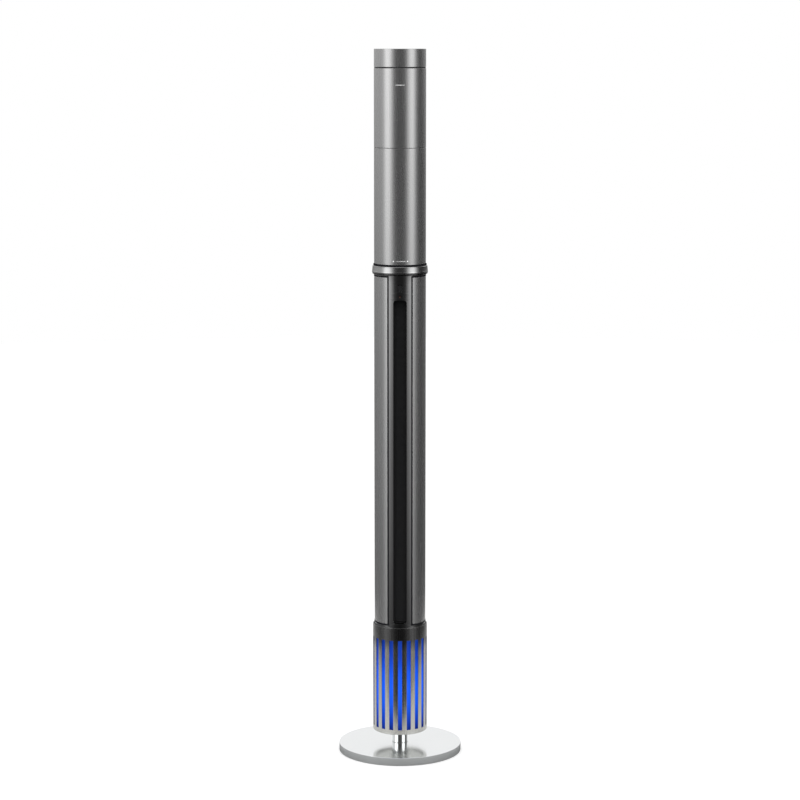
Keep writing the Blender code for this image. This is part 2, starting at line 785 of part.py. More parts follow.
def make_upper_body():
    inner = COLUMN_R - SLEEVE_WALL
    inside = inner - GAP
    seam = 0.0003
    tube("lower_sleeve", inner, COLUMN_R, SLEEVE_LOW, SLEEVE_SPLIT - seam, "gunmetal")
    tube("upper_sleeve", inner, COLUMN_R, SLEEVE_SPLIT + seam, SLEEVE_TOP, "gunmetal")
    joiner_low = SLEEVE_SPLIT - 0.020
    tube("sleeve_joiner", 0.0388, inside, joiner_low, SLEEVE_SPLIT + 0.020, "black_plastic")

    mount = disc("motor_mount", inside, 0.8463, 0.8493, "steel")
    cut(mount, disc("mount_hole", 0.0100, 0.8400, 0.8550, y=FAN_Y, segments=20))
    cut(mount, loom_hole("mount_loom_hole", 0.840, 0.855))
    motor = [
        (0.0, 0.8880),
        (0.0180, 0.8880),
        (0.0250, 0.8840),
        (0.0270, 0.8780),
        (0.0270, 0.8496),
        (0.0090, 0.8496),
        (0.0090, 0.8450),
        (0.0030, 0.8450),
        (0.0030, 0.8600),
        (0.0, 0.8600),
    ]
    turned("fan_motor", motor, "steel", y=FAN_Y, segments=24)
    tray = disc("electronics_tray", inside, 0.8930, 0.8955, "grey_plastic")
    cut(tray, loom_hole("tray_loom_hole", 0.885, 0.900))

    board = box("power_board", (-0.0280, -0.0010, 0.8958), (0.0280, 0.0006, 0.9750), "circuit_board")
    bulky = (
        ("transformer", (-0.0120, 0.0000, 0.9250), (0.0120, 0.0190, 0.9480)),
        ("filter_choke", (-0.0240, 0.0000, 0.9050), (-0.0120, 0.0120, 0.9170)),
        ("heat_sink", (-0.0200, -0.0120, 0.9250), (0.0140, 0.0000, 0.9450)),
        ("relay", (0.0080, 0.0000, 0.9540), (0.0220, 0.0110, 0.9700)),
    )
    for word, low, high in bulky:
        join(board, box(word, low, high))
    can = rod("capacitor", (0.0, 0.0000, 0.9130), (0.0, 0.0240, 0.9130), 0.0070, segments=16)
    join(board, can)

    tray_wall = inside
    cup = [
        (0.0, 1.1500),
        (0.0402, 1.1500),
        (0.0402, 1.1697),
        (COLUMN_R - 0.0005, 1.1697),
        (COLUMN_R - 0.0005, SLEEVE_TOP + GAP),
        (tray_wall, SLEEVE_TOP + GAP),
        (tray_wall, 1.1483),
        (0.0, 1.1483),
    ]
    turned("fragrance_tray", cup, "black_plastic")
    disc("fragrance_pad", 0.0360, 1.1503, 1.1540, "felt", segments=24)


def make_cap():
    spigot = 0.0386
    cap = [
        (0.0, HEIGHT),
        (CAP_R - 0.0006, HEIGHT),
        (CAP_R, HEIGHT - 0.0006),
        (CAP_R, CAP_LOW),
        (spigot, CAP_LOW),
        (spigot, 1.1600),
        (spigot - 0.0014, 1.1600),
        (spigot - 0.0014, HEIGHT - 0.0020),
        (0.0, HEIGHT - 0.0020),
    ]
    turned("top_cap", cap, "gunmetal")
    tube("cap_seal", spigot + GAP, 0.0399, 1.1625, 1.1641, "rubber")


# Electrics

def make_power_inlet():
    """Two-pin socket at the back of the column's foot."""
    back = 0.0330
    mouth = 0.0430
    outer_w, outer_h = INLET_HALF_W + INLET_WALL, INLET_HALF_H + INLET_WALL
    socket = box(
        "power_inlet",
        (-outer_w, back, INLET_Z - outer_h),
        (outer_w, mouth, INLET_Z + outer_h),
        "black_plastic",
    )
    hollow = box(
        "socket_hollow",
        (-INLET_HALF_W, back + INLET_WALL, INLET_Z - INLET_HALF_H),
        (INLET_HALF_W, mouth + 0.01, INLET_Z + INLET_HALF_H),
    )
    cut(socket, hollow)
    for side in (-1, 1):
        pin = rod(
            f"socket_pin_{side}",
            (side * 0.0050, back + 0.001, INLET_Z),
            (side * 0.0050, mouth - 0.002, INLET_Z),
            0.0011,
            segments=8,
        )
        join(socket, pin)


def make_wiring_loom():
    """Cable bundle from the inlet up the right of the column to the power board."""
    route = [
        Vector((0.0125, 0.0335, 0.2580)),
        Vector((0.0200, 0.0295, 0.2600)),
        Vector((0.0290, 0.0220, 0.2650)),
        Vector((LOOM_X, LOOM_Y, 0.2850)),
        Vector((LOOM_X, LOOM_Y, 0.5500)),
        Vector((LOOM_X, LOOM_Y, 0.8750)),
        Vector((LOOM_X, LOOM_Y, 0.9150)),
        Vector((0.0325, 0.0060, 0.9300)),
    ]
    curve = bpy.data.curves.new("wiring_loom", "CURVE")
    curve.dimensions = "3D"
    curve.bevel_depth = LOOM_R
    curve.bevel_resolution = 2
    curve.use_fill_caps = True
    spline = curve.splines.new("POLY")
    spline.points.add(len(route) - 1)
    for point, place_at in zip(spline.points, route):
        point.co = (*place_at, 1.0)
    loom = bpy.data.objects.new("wiring_loom", curve)
    COLLECTION.objects.link(loom)
    finish(loom, "rubber")


def main():
    for obj in list(bpy.data.objects):
        bpy.data.objects.remove(obj)
    bpy.context.scene.collection.children.link(COLLECTION)
    bpy.context.scene.collection.children.link(CUTTERS)
    CUTTERS.hide_render = True
    make_base()
    make_pole()
    make_gearing()
    make_cage()
    make_column_screws()
    make_column_frame()
    make_side_panels()
    make_outlet_guard()
    make_rear_grille()
    make_air_path()
    make_impeller()
    make_front_controls()
    make_neck()
    make_upper_body()
    make_cap()
    make_power_inlet()
    make_wiring_loom()


main()
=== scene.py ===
"""Looks of the slim column fan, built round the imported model.

Metres, +Z up, the fan faces -Y. A point on a wall is (degrees from the front, radius, height).
"""

import json
import math

import bmesh
import bpy
from mathutils import Matrix, Vector


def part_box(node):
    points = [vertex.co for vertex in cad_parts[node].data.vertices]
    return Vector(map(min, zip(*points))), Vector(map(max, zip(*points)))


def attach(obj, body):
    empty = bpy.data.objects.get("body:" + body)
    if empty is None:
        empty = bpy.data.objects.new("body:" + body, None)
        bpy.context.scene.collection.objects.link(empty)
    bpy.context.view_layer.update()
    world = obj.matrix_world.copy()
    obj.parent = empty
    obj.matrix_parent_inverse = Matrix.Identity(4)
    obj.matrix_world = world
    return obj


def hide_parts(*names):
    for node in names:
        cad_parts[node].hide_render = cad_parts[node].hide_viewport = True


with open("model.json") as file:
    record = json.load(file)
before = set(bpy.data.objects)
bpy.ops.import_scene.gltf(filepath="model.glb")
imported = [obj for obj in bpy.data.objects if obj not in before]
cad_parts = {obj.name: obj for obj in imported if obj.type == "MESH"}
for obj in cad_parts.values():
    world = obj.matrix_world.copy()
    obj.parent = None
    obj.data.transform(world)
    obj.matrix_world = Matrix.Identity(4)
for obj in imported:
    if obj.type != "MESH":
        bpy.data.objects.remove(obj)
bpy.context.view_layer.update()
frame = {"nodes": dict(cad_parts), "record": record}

SEGMENTS = 160


def radius(node):
    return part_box(node)[1].x


def low(node):
    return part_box(node)[0].z


def top(node):
    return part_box(node)[1].z


def low_y(node):
    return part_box(node)[0].y


# Sizes that the model gives
BASE_R, BASE_TOP = radius("base_cover"), top("base_cover")
CAGE_R, CAGE_LOW, CAGE_TOP = radius("cage_sleeve"), low("cage_sleeve"), top("cage_sleeve")
COLUMN_R = radius("lower_sleeve")
RING_R, RING_LOW, RING_TOP = radius("control_ring"), low("control_ring"), top("control_ring")
RING_TAPER = 0.0008
PANEL_LOW, PANEL_TOP = low("side_panel_left"), top("side_panel_left")
FRAME_TOP, FLARE_R = top("column_frame"), radius("column_frame")
SEAL_LOW, SEAL_TOP, SEAL_R = low("gasket_right"), top("gasket_right"), radius("gasket_right")
HEIGHT = top("top_cap")

# Cage: the wall as drawn, its slots, and the bores of the cage and the light tube
CAGE_WALL = 0.0012
CAGE_BORE_R = 0.0405
LIGHT_BORE_R = 0.0410
SLOTS = 19
SLOT_HALF_W = 0.0035
SLOT_LOW = 0.0455
SLOT_TOP = 0.2020

# Column walls, in degrees from the front
STRIP_EDGE = 25.6
GASKET_EDGES = (25.95, 28.95)
PANEL_EDGES = (29.3, 148.2)
POST_EDGES = (141.0, 156.0)
GRILLE_EDGE = 150.3
PANEL_WALL = 0.0016
SEAT_R = COLUMN_R - 0.00195
FRAME_WALL = 0.0022
SLEEVE_WALL = 0.0012
GAP = 0.0003
SHOULDER = SEAL_LOW - GAP
SEAT_TOP = PANEL_LOW + 0.0008
FLARE_LOW = SEAL_TOP + GAP
MARK_R = COLUMN_R + 0.00008
APRON_TOP = low("rear_grille") - 0.0010

# Cap: its rim and the spigot that goes into the tray
CAP_LOW = 1.1700
SPIGOT_R = 0.0386
SPIGOT_WALL = 0.0014
CAP_TOP_WALL = 0.0020

# Front openings: middle height, half width, half height and corner radius
OUTLET = (0.50765, 0.0114, 0.27615, 0.0045)
LENS_HOLE = (0.7900, 0.0018, 0.0018, 0.0018)
BUTTON_HOLE = (0.8038, 0.0033, 0.0061, 0.0033)
INLET_HOLE = (0.2550, 0.0102, 0.0065, 0.0010)


# Shapes

def turn_to(angle, reach):
    """The point at this distance from the axis, with the angle in degrees from the front."""
    turn = math.radians(angle)
    return reach * math.sin(turn), -reach * math.cos(turn)


def spread(start, end, count):
    """Evenly spaced numbers from start to end, count steps apart."""
    return [start + (end - start) * i / count for i in range(count + 1)]


def fillet(outline, steps=4, closed=True):
    """A flat outline of (across, up, corner radius) points, with its corners rounded."""
    made = []
    for i, (across, up, size) in enumerate(outline):
        ends = not closed and i in (0, len(outline) - 1)
        if not size or ends:
            made.append((across, up))
            continue
        corner = Vector((across, up))
        back = Vector(outline[i - 1][:2]) - corner
        ahead = Vector(outline[(i + 1) % len(outline)][:2]) - corner
        half = back.angle(ahead) / 2
        reach = min(size / math.tan(half), back.length * 0.49, ahead.length * 0.49)
        rounding = reach * math.tan(half)
        bisector = (back.normalized() + ahead.normalized()).normalized()
        middle = corner + bisector * (rounding / math.sin(half))
        first = corner + back.normalized() * reach - middle
        last = corner + ahead.normalized() * reach - middle
        start = math.atan2(first.y, first.x)
        sweep = (math.atan2(last.y, last.x) - start + math.pi) % (2 * math.pi) - math.pi
        for turn in spread(start, start + sweep, steps):
            made.append((middle.x + rounding * math.cos(turn), middle.y + rounding * math.sin(turn)))
    return made


class Skin:
    """Faces on walls round the column, welded where their corners meet."""

    def __init__(self):
        self.mesh = bmesh.new()
        self.known = {}

    def corner(self, angle, reach, height):
        x, y = turn_to(angle, reach)
        key = (round(x, 6), round(y, 6), round(height, 6))
        if key not in self.known:
            self.known[key] = self.mesh.verts.new((x, y, height))
        return self.known[key]

    def face(self, points):
        corners = []
        for point in points:
            vertex = self.corner(*point)
            if vertex not in corners:
                corners.append(vertex)
        if len(corners) > 2 and not self.mesh.faces.get(corners):
            self.mesh.faces.new(corners)

    def patch(self, rows, keep=None):
        """Faces between rows of points that run left to right, the lowest row first."""
        for level, (below, above) in enumerate(zip(rows, rows[1:])):
            for i in range(len(below) - 1):
                if keep is None or keep(i, level):
                    self.face((below[i], below[i + 1], above[i + 1], above[i]))

    def sweep(self, angles, profile):
        """A wall between the angles, its section given as (radius, height) points."""
        self.patch([[(a, r, z) for a in angles] for r, z in profile])

    def holed(self, columns, levels, hole, reach, rings=3):
        """A wall between the outer columns (degrees) and levels (heights), round one hole."""
        height, half_w, half_h, corner = hole
        middle = (columns[0] + columns[-1]) / 2
        to_arc = math.radians(1) * reach
        outer = [(a, levels[0]) for a in columns]
        outer += [(columns[-1], z) for z in levels[1:]]
        outer += [(a, levels[-1]) for a in columns[-2::-1]]
        outer += [(columns[0], z) for z in levels[-2::-1]]
        inner = []
        for angle, z in outer:
            across = (angle - middle) / (columns[-1] - middle) * half_w
            edge = levels[-1] if z > height else levels[0]
            up = (z - height) / abs(edge - height) * half_h
            past_x, past_z = abs(across) - half_w + corner, abs(up) - half_h + corner
            if past_x > 0 and past_z > 0:
                pull = corner / math.hypot(past_x, past_z)
                across = math.copysign(half_w - corner + past_x * pull, across)
                up = math.copysign(half_h - corner + past_z * pull, up)
            inner.append((middle + across / to_arc, height + up))
        for ring in range(rings):
            near, far = ring / rings, (ring + 1) / rings
            for i in range(len(outer) - 1):
                corners = []
                for share, place in ((far, i), (far, i + 1), (near, i + 1), (near, i)):
                    a = inner[place][0] + (outer[place][0] - inner[place][0]) * share
                    z = inner[place][1] + (outer[place][1] - inner[place][1]) * share
                    corners.append((a, reach, z))
                self.face(corners)


def link(name, mesh):
    obj = bpy.data.objects.new(name, mesh)
    bpy.context.scene.collection.objects.link(obj)
    return obj


def piece(name, shape, body, slot=None, replaces=(), look=None, smooth=35):
    """An object on a body, standing for CAD nodes, in its slot's look or one of its own."""
    mesh = bpy.data.meshes.new(name)
    shape.to_mesh(mesh)
    shape.free()
    mesh.shade_smooth()
    mesh.set_sharp_from_angle(angle=math.radians(smooth))
    mesh.materials.append(look or SHADES[slot])
    obj = link(name, mesh)
    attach(obj, body)
    if replaces:
        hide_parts(*replaces)
    return obj


def even_normals(obj):
    obj.modifiers.new("Normals", "WEIGHTED_NORMAL").keep_sharp = True
    return obj


def thicken(obj, thickness, bevel=0.00025, segments=2):
    """Gives an open wall its thickness inward, and rounds the edges."""
    solid = obj.modifiers.new("Wall", "SOLIDIFY")
    solid.thickness = thickness
    solid.offset = -1.0
    solid.use_even_offset = True
    return round_edges(obj, bevel, segments)


def round_edges(obj, bevel, segments=2):
    rounding = obj.modifiers.new("Edges", "BEVEL")
    rounding.width = bevel
    rounding.segments = segments
    rounding.limit_method = "ANGLE"
    rounding.angle_limit = math.radians(40)
    return even_normals(obj)


def turned(name, outline, body, slot, replaces, look=None, segments=SEGMENTS):
    """A turned piece, from an outline of (radius, height, corner radius) points."""
    closed = outline[0][0] > 0
    profile = fillet(outline, closed=closed)
    if closed:
        profile.append(profile[0])
    skin = Skin()
    angles = spread(0, 360, segments)
    skin.sweep(angles, profile)
    return even_normals(piece(name, skin.mesh, body, slot, replaces, look))


def ring_outline(inner, outer, base, crest, corner=0.0003):
    return [(outer, base, corner), (outer, crest, corner), (inner, crest, 0), (inner, base, 0)]


def tube(name, node, bore, body, slot, corner=0.0003, segments=SEGMENTS):
    """A plain turned tube in a node's place, with its outer edges rounded."""
    outline = ring_outline(bore, radius(node), low(node), top(node), corner)
    turned(name, outline, body, slot, [node], segments=segments)


def pill(half_w, half_h, corner, steps=6):
    """A rectangle with round corners, as (across, up) points."""
    points = [(half_w, -half_h), (half_w, half_h), (-half_w, half_h), (-half_w, -half_h)]
    return fillet([(x, z, corner * 0.999) for x, z in points], steps)


def front_stack(outline, levels, height):
    """A closed form facing -Y: the outline at each level of (Y, scale), the back one first."""
    shape = bmesh.new()
    rings = []
    for y, scale in levels:
        rings.append([shape.verts.new((x * scale, y, height + z * scale)) for x, z in outline])
    for back, front in zip(rings, rings[1:]):
        for i in range(len(outline)):
            j = (i + 1) % len(outline)
            shape.faces.new((back[i], back[j], front[j], front[i]))
    shape.faces.new(rings[0][::-1])
    shape.faces.new(rings[-1])
    bmesh.ops.recalc_face_normals(shape, faces=shape.faces)
    return shape


def add_block(shape, corner_low, corner_high, lean=0.0):
    """Adds a box to a bmesh, leaning by some degrees about X through its middle."""
    corner_low, corner_high = Vector(corner_low), Vector(corner_high)
    matrix = Matrix.Translation((corner_low + corner_high) / 2)
    matrix = matrix @ Matrix.Rotation(math.radians(lean), 4, "X")
    matrix = matrix @ Matrix.Diagonal((*(corner_high - corner_low), 1.0))
    bmesh.ops.create_cube(shape, size=1.0, matrix=matrix)


# Materials

class Look:
    """A Principled material, with short ways to add the nodes that give it detail."""

    def __init__(self, name, colour, roughness, metallic=0.0, **sockets):
        self.material = bpy.data.materials.new(name)
        self.material.use_nodes = True
        self.nodes = self.material.node_tree.nodes
        self.links = self.material.node_tree.links
        self.shader = self.nodes["Principled BSDF"]
        self.put("Base Color", (*colour, 1.0))
        self.put("Roughness", roughness)
        self.put("Metallic", metallic)
        for socket, value in sockets.items():
            self.put(socket.replace("_", " "), value)

    def put(self, socket, value):
        self.shader.inputs[socket].default_value = value

    def drive(self, source, socket):
        self.links.new(source, self.shader.inputs[socket])

    def tone(self, share, one, other):
        self.drive(self.mix(share, one, other), "Base Color")

    def finish(self, source, smoothest, roughest, start=0.3, end=0.7):
        self.drive(self.ranged(source, start, end, smoothest, roughest), "Roughness")

    def place(self):
        return self.nodes.new("ShaderNodeTexCoord").outputs["Object"]

    def scaled(self, scale):
        mapping = self.nodes.new("ShaderNodeMapping")
        mapping.inputs["Scale"].default_value = scale if isinstance(scale, tuple) else (scale,) * 3
        self.links.new(self.place(), mapping.inputs["Vector"])
        return mapping.outputs["Vector"]

    def noise(self, scale, detail=3.0):
        """Noise with this many waves per metre, one number or one each for X, Y and Z."""
        texture = self.nodes.new("ShaderNodeTexNoise")
        texture.inputs["Scale"].default_value = 1.0
        texture.inputs["Detail"].default_value = detail
        self.links.new(self.scaled(scale), texture.inputs["Vector"])
        return texture.outputs["Fac"]

    def cells(self, scale):
        texture = self.nodes.new("ShaderNodeTexVoronoi")
        texture.inputs["Scale"].default_value = 1.0
        self.links.new(self.scaled(scale), texture.inputs["Vector"])
        return texture.outputs["Distance"]

    def part(self, axis):
        split = self.nodes.new("ShaderNodeSeparateXYZ")
        self.links.new(self.place(), split.inputs[0])
        return split.outputs[axis]

    def turn_noise(self, rings, detail=2.0):
        """Noise that runs in circles round the axis, as a lathe leaves it."""
        flat = self.nodes.new("ShaderNodeVectorMath")
        flat.operation = "MULTIPLY"
        flat.inputs[1].default_value = (1.0, 1.0, 0.0)
        self.links.new(self.place(), flat.inputs[0])
        length = self.nodes.new("ShaderNodeVectorMath")
        length.operation = "LENGTH"
        self.links.new(flat.outputs[0], length.inputs[0])
        texture = self.nodes.new("ShaderNodeTexNoise")
        texture.noise_dimensions = "1D"
        texture.inputs["Scale"].default_value = rings
        texture.inputs["Detail"].default_value = detail
        self.links.new(length.outputs["Value"], texture.inputs["W"])
        return texture.outputs["Fac"]

    def ranged(self, source, start, end, out_start=0.0, out_end=1.0, smooth=False):
        span = self.nodes.new("ShaderNodeMapRange")
        span.interpolation_type = "SMOOTHSTEP" if smooth else "LINEAR"
        for socket, value in zip(("From Min", "From Max", "To Min", "To Max"),
                                 (start, end, out_start, out_end)):
            span.inputs[socket].default_value = value
        self.links.new(source, span.inputs["Value"])
        return span.outputs["Result"]

    def times(self, one, other):
        product = self.nodes.new("ShaderNodeMath")
        product.operation = "MULTIPLY"
        self.links.new(one, product.inputs[0])
        self.links.new(other, product.inputs[1])
        return product.outputs[0]

    def ramp(self, source, stops):
        """Colours between stops of (position, colour)."""
        ramp = self.nodes.new("ShaderNodeValToRGB")
        elements = ramp.color_ramp.elements
        while len(elements) < len(stops):
            elements.new(0.5)
        for element, (position, colour) in zip(elements, stops):
            element.position = position
            element.color = (*colour, 1.0)
        self.links.new(source, ramp.inputs["Fac"])
        return ramp.outputs["Color"]

    def mix(self, share, one, other):
        """A colour between two colours, each a tuple or another node's output."""
        mix = self.nodes.new("ShaderNodeMix")
        mix.data_type = "RGBA"
        self.links.new(share, mix.inputs[0])
        for socket, value in ((mix.inputs[6], one), (mix.inputs[7], other)):
            if isinstance(value, tuple):
                socket.default_value = (*value, 1.0)
            else:
                self.links.new(value, socket)
        return mix.outputs[2]

    def bump(self, source, distance, strength=1.0):
        node = self.nodes.new("ShaderNodeBump")
        node.inputs["Distance"].default_value = distance
        node.inputs["Strength"].default_value = strength
        self.links.new(source, node.inputs["Height"])
        self.drive(node.outputs["Normal"], "Normal")


def shade_of(colour, factor):
    return tuple(min(1.0, part * factor) for part in colour)


def worked_metal(name, colour, roughness, grain, depth=0.000004, spread_of=0.06, tint=0.10,
                 metallic=1.0):
    """Metal with a grain, which also varies the roughness, and a slow change of tone."""
    look = Look(name, colour, roughness, metallic)
    fine = look.noise(grain, 2.0)
    slow = look.noise((9.0, 9.0, 4.0), 2.0)
    tone = look.mix(slow, shade_of(colour, 1 - tint), shade_of(colour, 1 + tint))
    fine_tone = look.ranged(fine, 0.3, 0.7, 0.35, 0.65)
    look.tone(fine_tone, tone, colour)
    look.finish(look.times(fine, slow), roughness - spread_of, roughness + spread_of, 0.1, 0.45)
    look.bump(fine, depth)
    return look


def moulded(name, colour, roughness, grain=2600.0, depth=0.00002, gloss=0.5):
    """Moulded plastic or rubber with a fine spark-eroded grain."""
    look = Look(name, colour, roughness, Specular_IOR_Level=gloss)
    speckle = look.noise(grain, 2.0)
    slow = look.noise(30.0, 3.0)
    look.tone(slow, shade_of(colour, 0.85), shade_of(colour, 1.15))
    look.finish(speckle, roughness - 0.06, roughness + 0.06)
    look.bump(speckle, depth, 0.5)
    return look


def cap_metal():
    """The cap's top is turned, so its grain runs in circles."""
    colour = (0.46, 0.46, 0.46)
    look = Look("cap_anodised", colour, 0.27, 0.90)
    rings = look.turn_noise(5200.0)
    streaks = look.noise((900.0, 900.0, 18.0), 2.0)
    on_top = look.ranged(look.part("Z"), HEIGHT - 0.0004, HEIGHT - 0.0001)
    grain = look.mix(on_top, streaks, rings)
    look.tone(grain, shade_of(colour, 0.94), shade_of(colour, 1.06))
    look.finish(grain, 0.24, 0.30)
    look.bump(grain, 0.000002)
    return look


def cage_metal():
    """Satin nickel, with painted shade: darker and cooler over the band above the slots and the top of
    the ribs, and lighter towards the foot as a painted reflection.
    """
    look = Look("cage_nickel", (0.5, 0.49, 0.45), 0.24, 1.0)
    height = look.part("Z")
    # Painted shade: this mask darkens the band above the slots and the top of the ribs.
    shaded_collar_mask = look.ranged(height, SLOT_TOP - 0.022, SLOT_TOP + 0.002, smooth=True)
    # Painted reflection: this mask lightens the ribs towards the foot.
    foot = look.ranged(height, CAGE_LOW + 0.080, CAGE_LOW, smooth=True)
    grain = look.noise((1100.0, 1100.0, 12.0), 2.0)
    slow = look.noise((25.0, 25.0, 12.0), 2.0)
    ribs = look.mix(slow, (0.52, 0.51, 0.46), (0.60, 0.59, 0.53))
    ribs = look.mix(foot, ribs, (0.66, 0.66, 0.63))
    # The dark colour of the painted shade over the band above the slots.
    dark = look.mix(slow, (0.19, 0.19, 0.19), (0.22, 0.22, 0.22))
    look.tone(shaded_collar_mask, ribs, dark)
    look.finish(grain, 0.20, 0.28)
    look.bump(grain, 0.000004)
    return look


def frame_metal():
    """Dark glossy coating on the column's frame, with painted shade that darkens the flare's lip."""
    look = Look("frame_coating", (0.36, 0.36, 0.362), 0.13, 1.0)
    slow = look.noise((14.0, 14.0, 5.0), 2.0)
    flow = look.noise(420.0, 1.0)
    # Painted shade: this mask darkens the flare's lip.
    lip = look.ranged(look.part("Z"), FLARE_LOW + 0.0022, FLARE_LOW + 0.0030)
    wall = look.mix(slow, (0.34, 0.34, 0.342), (0.38, 0.38, 0.382))
    look.tone(lip, wall, (0.28, 0.28, 0.282))
    look.finish(slow, 0.11, 0.15)
    look.bump(flow, 0.000006, 0.4)
    return look


def glow():
    """The lit diffuser: brightest below its middle, fading to both ends."""
    look = Look("blue_diffuser", (0.002, 0.010, 0.07), 0.55, Specular_IOR_Level=0.15)
    height = look.ranged(look.part("Z"), SLOT_LOW, SLOT_TOP)
    stops = (
        (0.0, (0.0015, 0.012, 0.15)),
        (0.10, (0.003, 0.040, 0.42)),
        (0.28, (0.006, 0.100, 0.82)),
        (0.45, (0.008, 0.115, 0.95)),
        (0.62, (0.007, 0.095, 0.84)),
        (0.80, (0.005, 0.045, 0.46)),
        (1.0, (0.004, 0.026, 0.22)),
    )
    light = look.ramp(height, stops)
    cloud = look.noise((55.0, 55.0, 22.0), 2.0)
    light = look.mix(look.ranged(cloud, 0.4, 0.75, 0.0, 0.12), light, (0.010, 0.12, 0.95))
    look.drive(light, "Emission Color")
    look.put("Emission Strength", 1.0)
    look.bump(look.noise(900.0, 2.0), 0.00002, 0.3)
    return look


def board_look():
    """Green laminate with a grid of lighter tracks."""
    look = Look("circuit_board", (0.02, 0.16, 0.07), 0.35)
    tracks = look.nodes.new("ShaderNodeTexBrick")
    tracks.inputs["Scale"].default_value = 260.0
    tracks.inputs["Mortar Size"].default_value = 0.06
    tracks.inputs["Color1"].default_value = (0.015, 0.13, 0.05, 1.0)
    tracks.inputs["Color2"].default_value = (0.02, 0.18, 0.07, 1.0)
    tracks.inputs["Mortar"].default_value = (0.10, 0.34, 0.12, 1.0)
    look.links.new(look.place(), tracks.inputs["Vector"])
    look.drive(tracks.outputs["Color"], "Base Color")
    look.bump(tracks.outputs["Fac"], 0.00004, 0.5)
    return look


def felt_look():
    """Pressed felt: matted fibres in slightly uneven clumps."""
    look = Look("felt", (0.55, 0.54, 0.50), 0.95, Sheen_Weight=0.4)
    fibres = look.noise((1500.0, 1500.0, 700.0), 6.0)
    clumps = look.noise(180.0, 3.0)
    look.tone(clumps, (0.46, 0.45, 0.41), (0.64, 0.63, 0.59))
    look.bump(fibres, 0.0003, 0.8)
    return look


def iron_look():
    """Cast iron with a pitted skin."""
    look = Look("iron", (0.18, 0.18, 0.19), 0.6, 0.8)
    pits = look.cells(420.0)
    slow = look.noise(40.0, 4.0)
    look.tone(slow, (0.13, 0.13, 0.135), (0.24, 0.24, 0.25))
    look.finish(pits, 0.7, 0.5, 0.1, 0.6)
    look.bump(pits, 0.00012, 0.6)
    return look


def pole_chrome():
    """Mirror chrome with a faint haze."""
    look = Look("pole_chrome", (0.86, 0.88, 0.88), 0.05, 1.0)
    haze = look.noise((60.0, 60.0, 14.0), 3.0)
    look.tone(haze, (0.83, 0.86, 0.86), (0.90, 0.91, 0.91))
    look.finish(haze, 0.03, 0.09, 0.3, 0.75)
    return look


def base_top_look():
    """Polished top of the base, with a soft haze from turning."""
    look = Look("base_polish", (0.85, 0.865, 0.87), 0.14, 1.0)
    haze = look.noise(22.0, 3.0)
    rings = look.turn_noise(3600.0)
    look.tone(haze, (0.83, 0.85, 0.855), (0.88, 0.89, 0.895))
    look.finish(look.times(haze, rings), 0.11, 0.17, 0.1, 0.4)
    look.bump(rings, 0.0000012)
    return look


def base_side_look():
    """Satin side of the base."""
    look = Look("base_side", (0.36, 0.37, 0.37), 0.42, 0.35)
    grain = look.noise((60.0, 60.0, 2600.0), 2.0)
    look.tone(grain, (0.33, 0.34, 0.34), (0.40, 0.41, 0.41))
    look.finish(grain, 0.37, 0.47)
    look.bump(grain, 0.000008, 0.6)
    return look


def outlet_look():
    """Matt black of the louvres."""
    look = Look("outlet_black", (0.012, 0.012, 0.013), 0.55, Specular_IOR_Level=0.25)
    speckle = look.noise(2200.0, 2.0)
    look.tone(speckle, (0.009, 0.009, 0.010), (0.016, 0.016, 0.017))
    look.finish(speckle, 0.5, 0.62)
    look.bump(speckle, 0.00002, 0.4)
    return look


def print_look():
    """Pale screen print with fine flecks, and a faint painted glow that makes it read brighter."""
    # Painted light: the print glows faintly, though it is no lamp.
    look = Look("pale_print", (0.85, 0.85, 0.85), 0.5, Emission_Strength=0.3)
    flecks = look.noise(4000.0, 2.0)
    look.put("Emission Color", (1.0, 1.0, 1.0, 1.0))
    look.tone(flecks, (0.80, 0.80, 0.80), (0.90, 0.90, 0.90))
    return look


def lens_look():
    """Smoked red lens under a clear skin."""
    look = Look("smoked_lens", (0.03, 0.012, 0.012), 0.10, Coat_Weight=1.0)
    depth = look.cells(700.0)
    look.tone(depth, (0.02, 0.008, 0.008), (0.06, 0.02, 0.02))
    look.bump(depth, 0.00003, 0.3)
    return look


# Grain in waves per metre along X, Y and Z
UPRIGHT_GRAIN = (650.0, 650.0, 6.0)
EVEN_GRAIN = 1400.0
LOOKS = {
    "gunmetal": worked_metal(
        "anodised", (0.46, 0.46, 0.46), 0.27, UPRIGHT_GRAIN, 0.000001, 0.02, 0.04, 0.90,
    ),
    "dark_metal": frame_metal(),
    "nickel": cage_metal(),
    "ring_metal": worked_metal(
        "ring_steel", (0.37, 0.372, 0.372), 0.20, EVEN_GRAIN, 0.000008, 0.06, 0.16,
    ),
    "steel": worked_metal("steel", (0.60, 0.60, 0.60), 0.34, EVEN_GRAIN),
    "chrome": pole_chrome(),
    "base_polish": base_top_look(),
    "iron": iron_look(),
    "black_plastic": moulded("black_plastic", (0.020, 0.020, 0.022), 0.45),
    "grey_plastic": moulded("grey_plastic", (0.28, 0.29, 0.30), 0.50),
    "white_plastic": moulded("white_plastic", (0.78, 0.78, 0.75), 0.42),
    "blue_diffuser": glow(),
    "rubber": moulded("rubber", (0.010, 0.010, 0.013), 0.80, 1800.0, 0.00003, 0.10),
    "circuit_board": board_look(),
    "brass": worked_metal("brass", (0.70, 0.50, 0.22), 0.32, EVEN_GRAIN),
    "felt": felt_look(),
    "smoked_lens": lens_look(),
}
SHADES = {slot: look.material for slot, look in LOOKS.items()}
CAP_METAL = cap_metal().material
BASE_SIDE = base_side_look().material
OUTLET_BLACK = outlet_look().material
PALE_PRINT = print_look().material
RING_POLISH = worked_metal("ring_polish", (0.55, 0.55, 0.55), 0.12, EVEN_GRAIN).material


def dress_nodes():
    """Gives every CAD node the look of its own slot in the record."""
    for part in frame["record"]["subparts"]:
        materials = frame["nodes"][part["node"]].data.materials
        materials.clear()
        materials.append(SHADES[part["material_slot"]])


# Base and pole

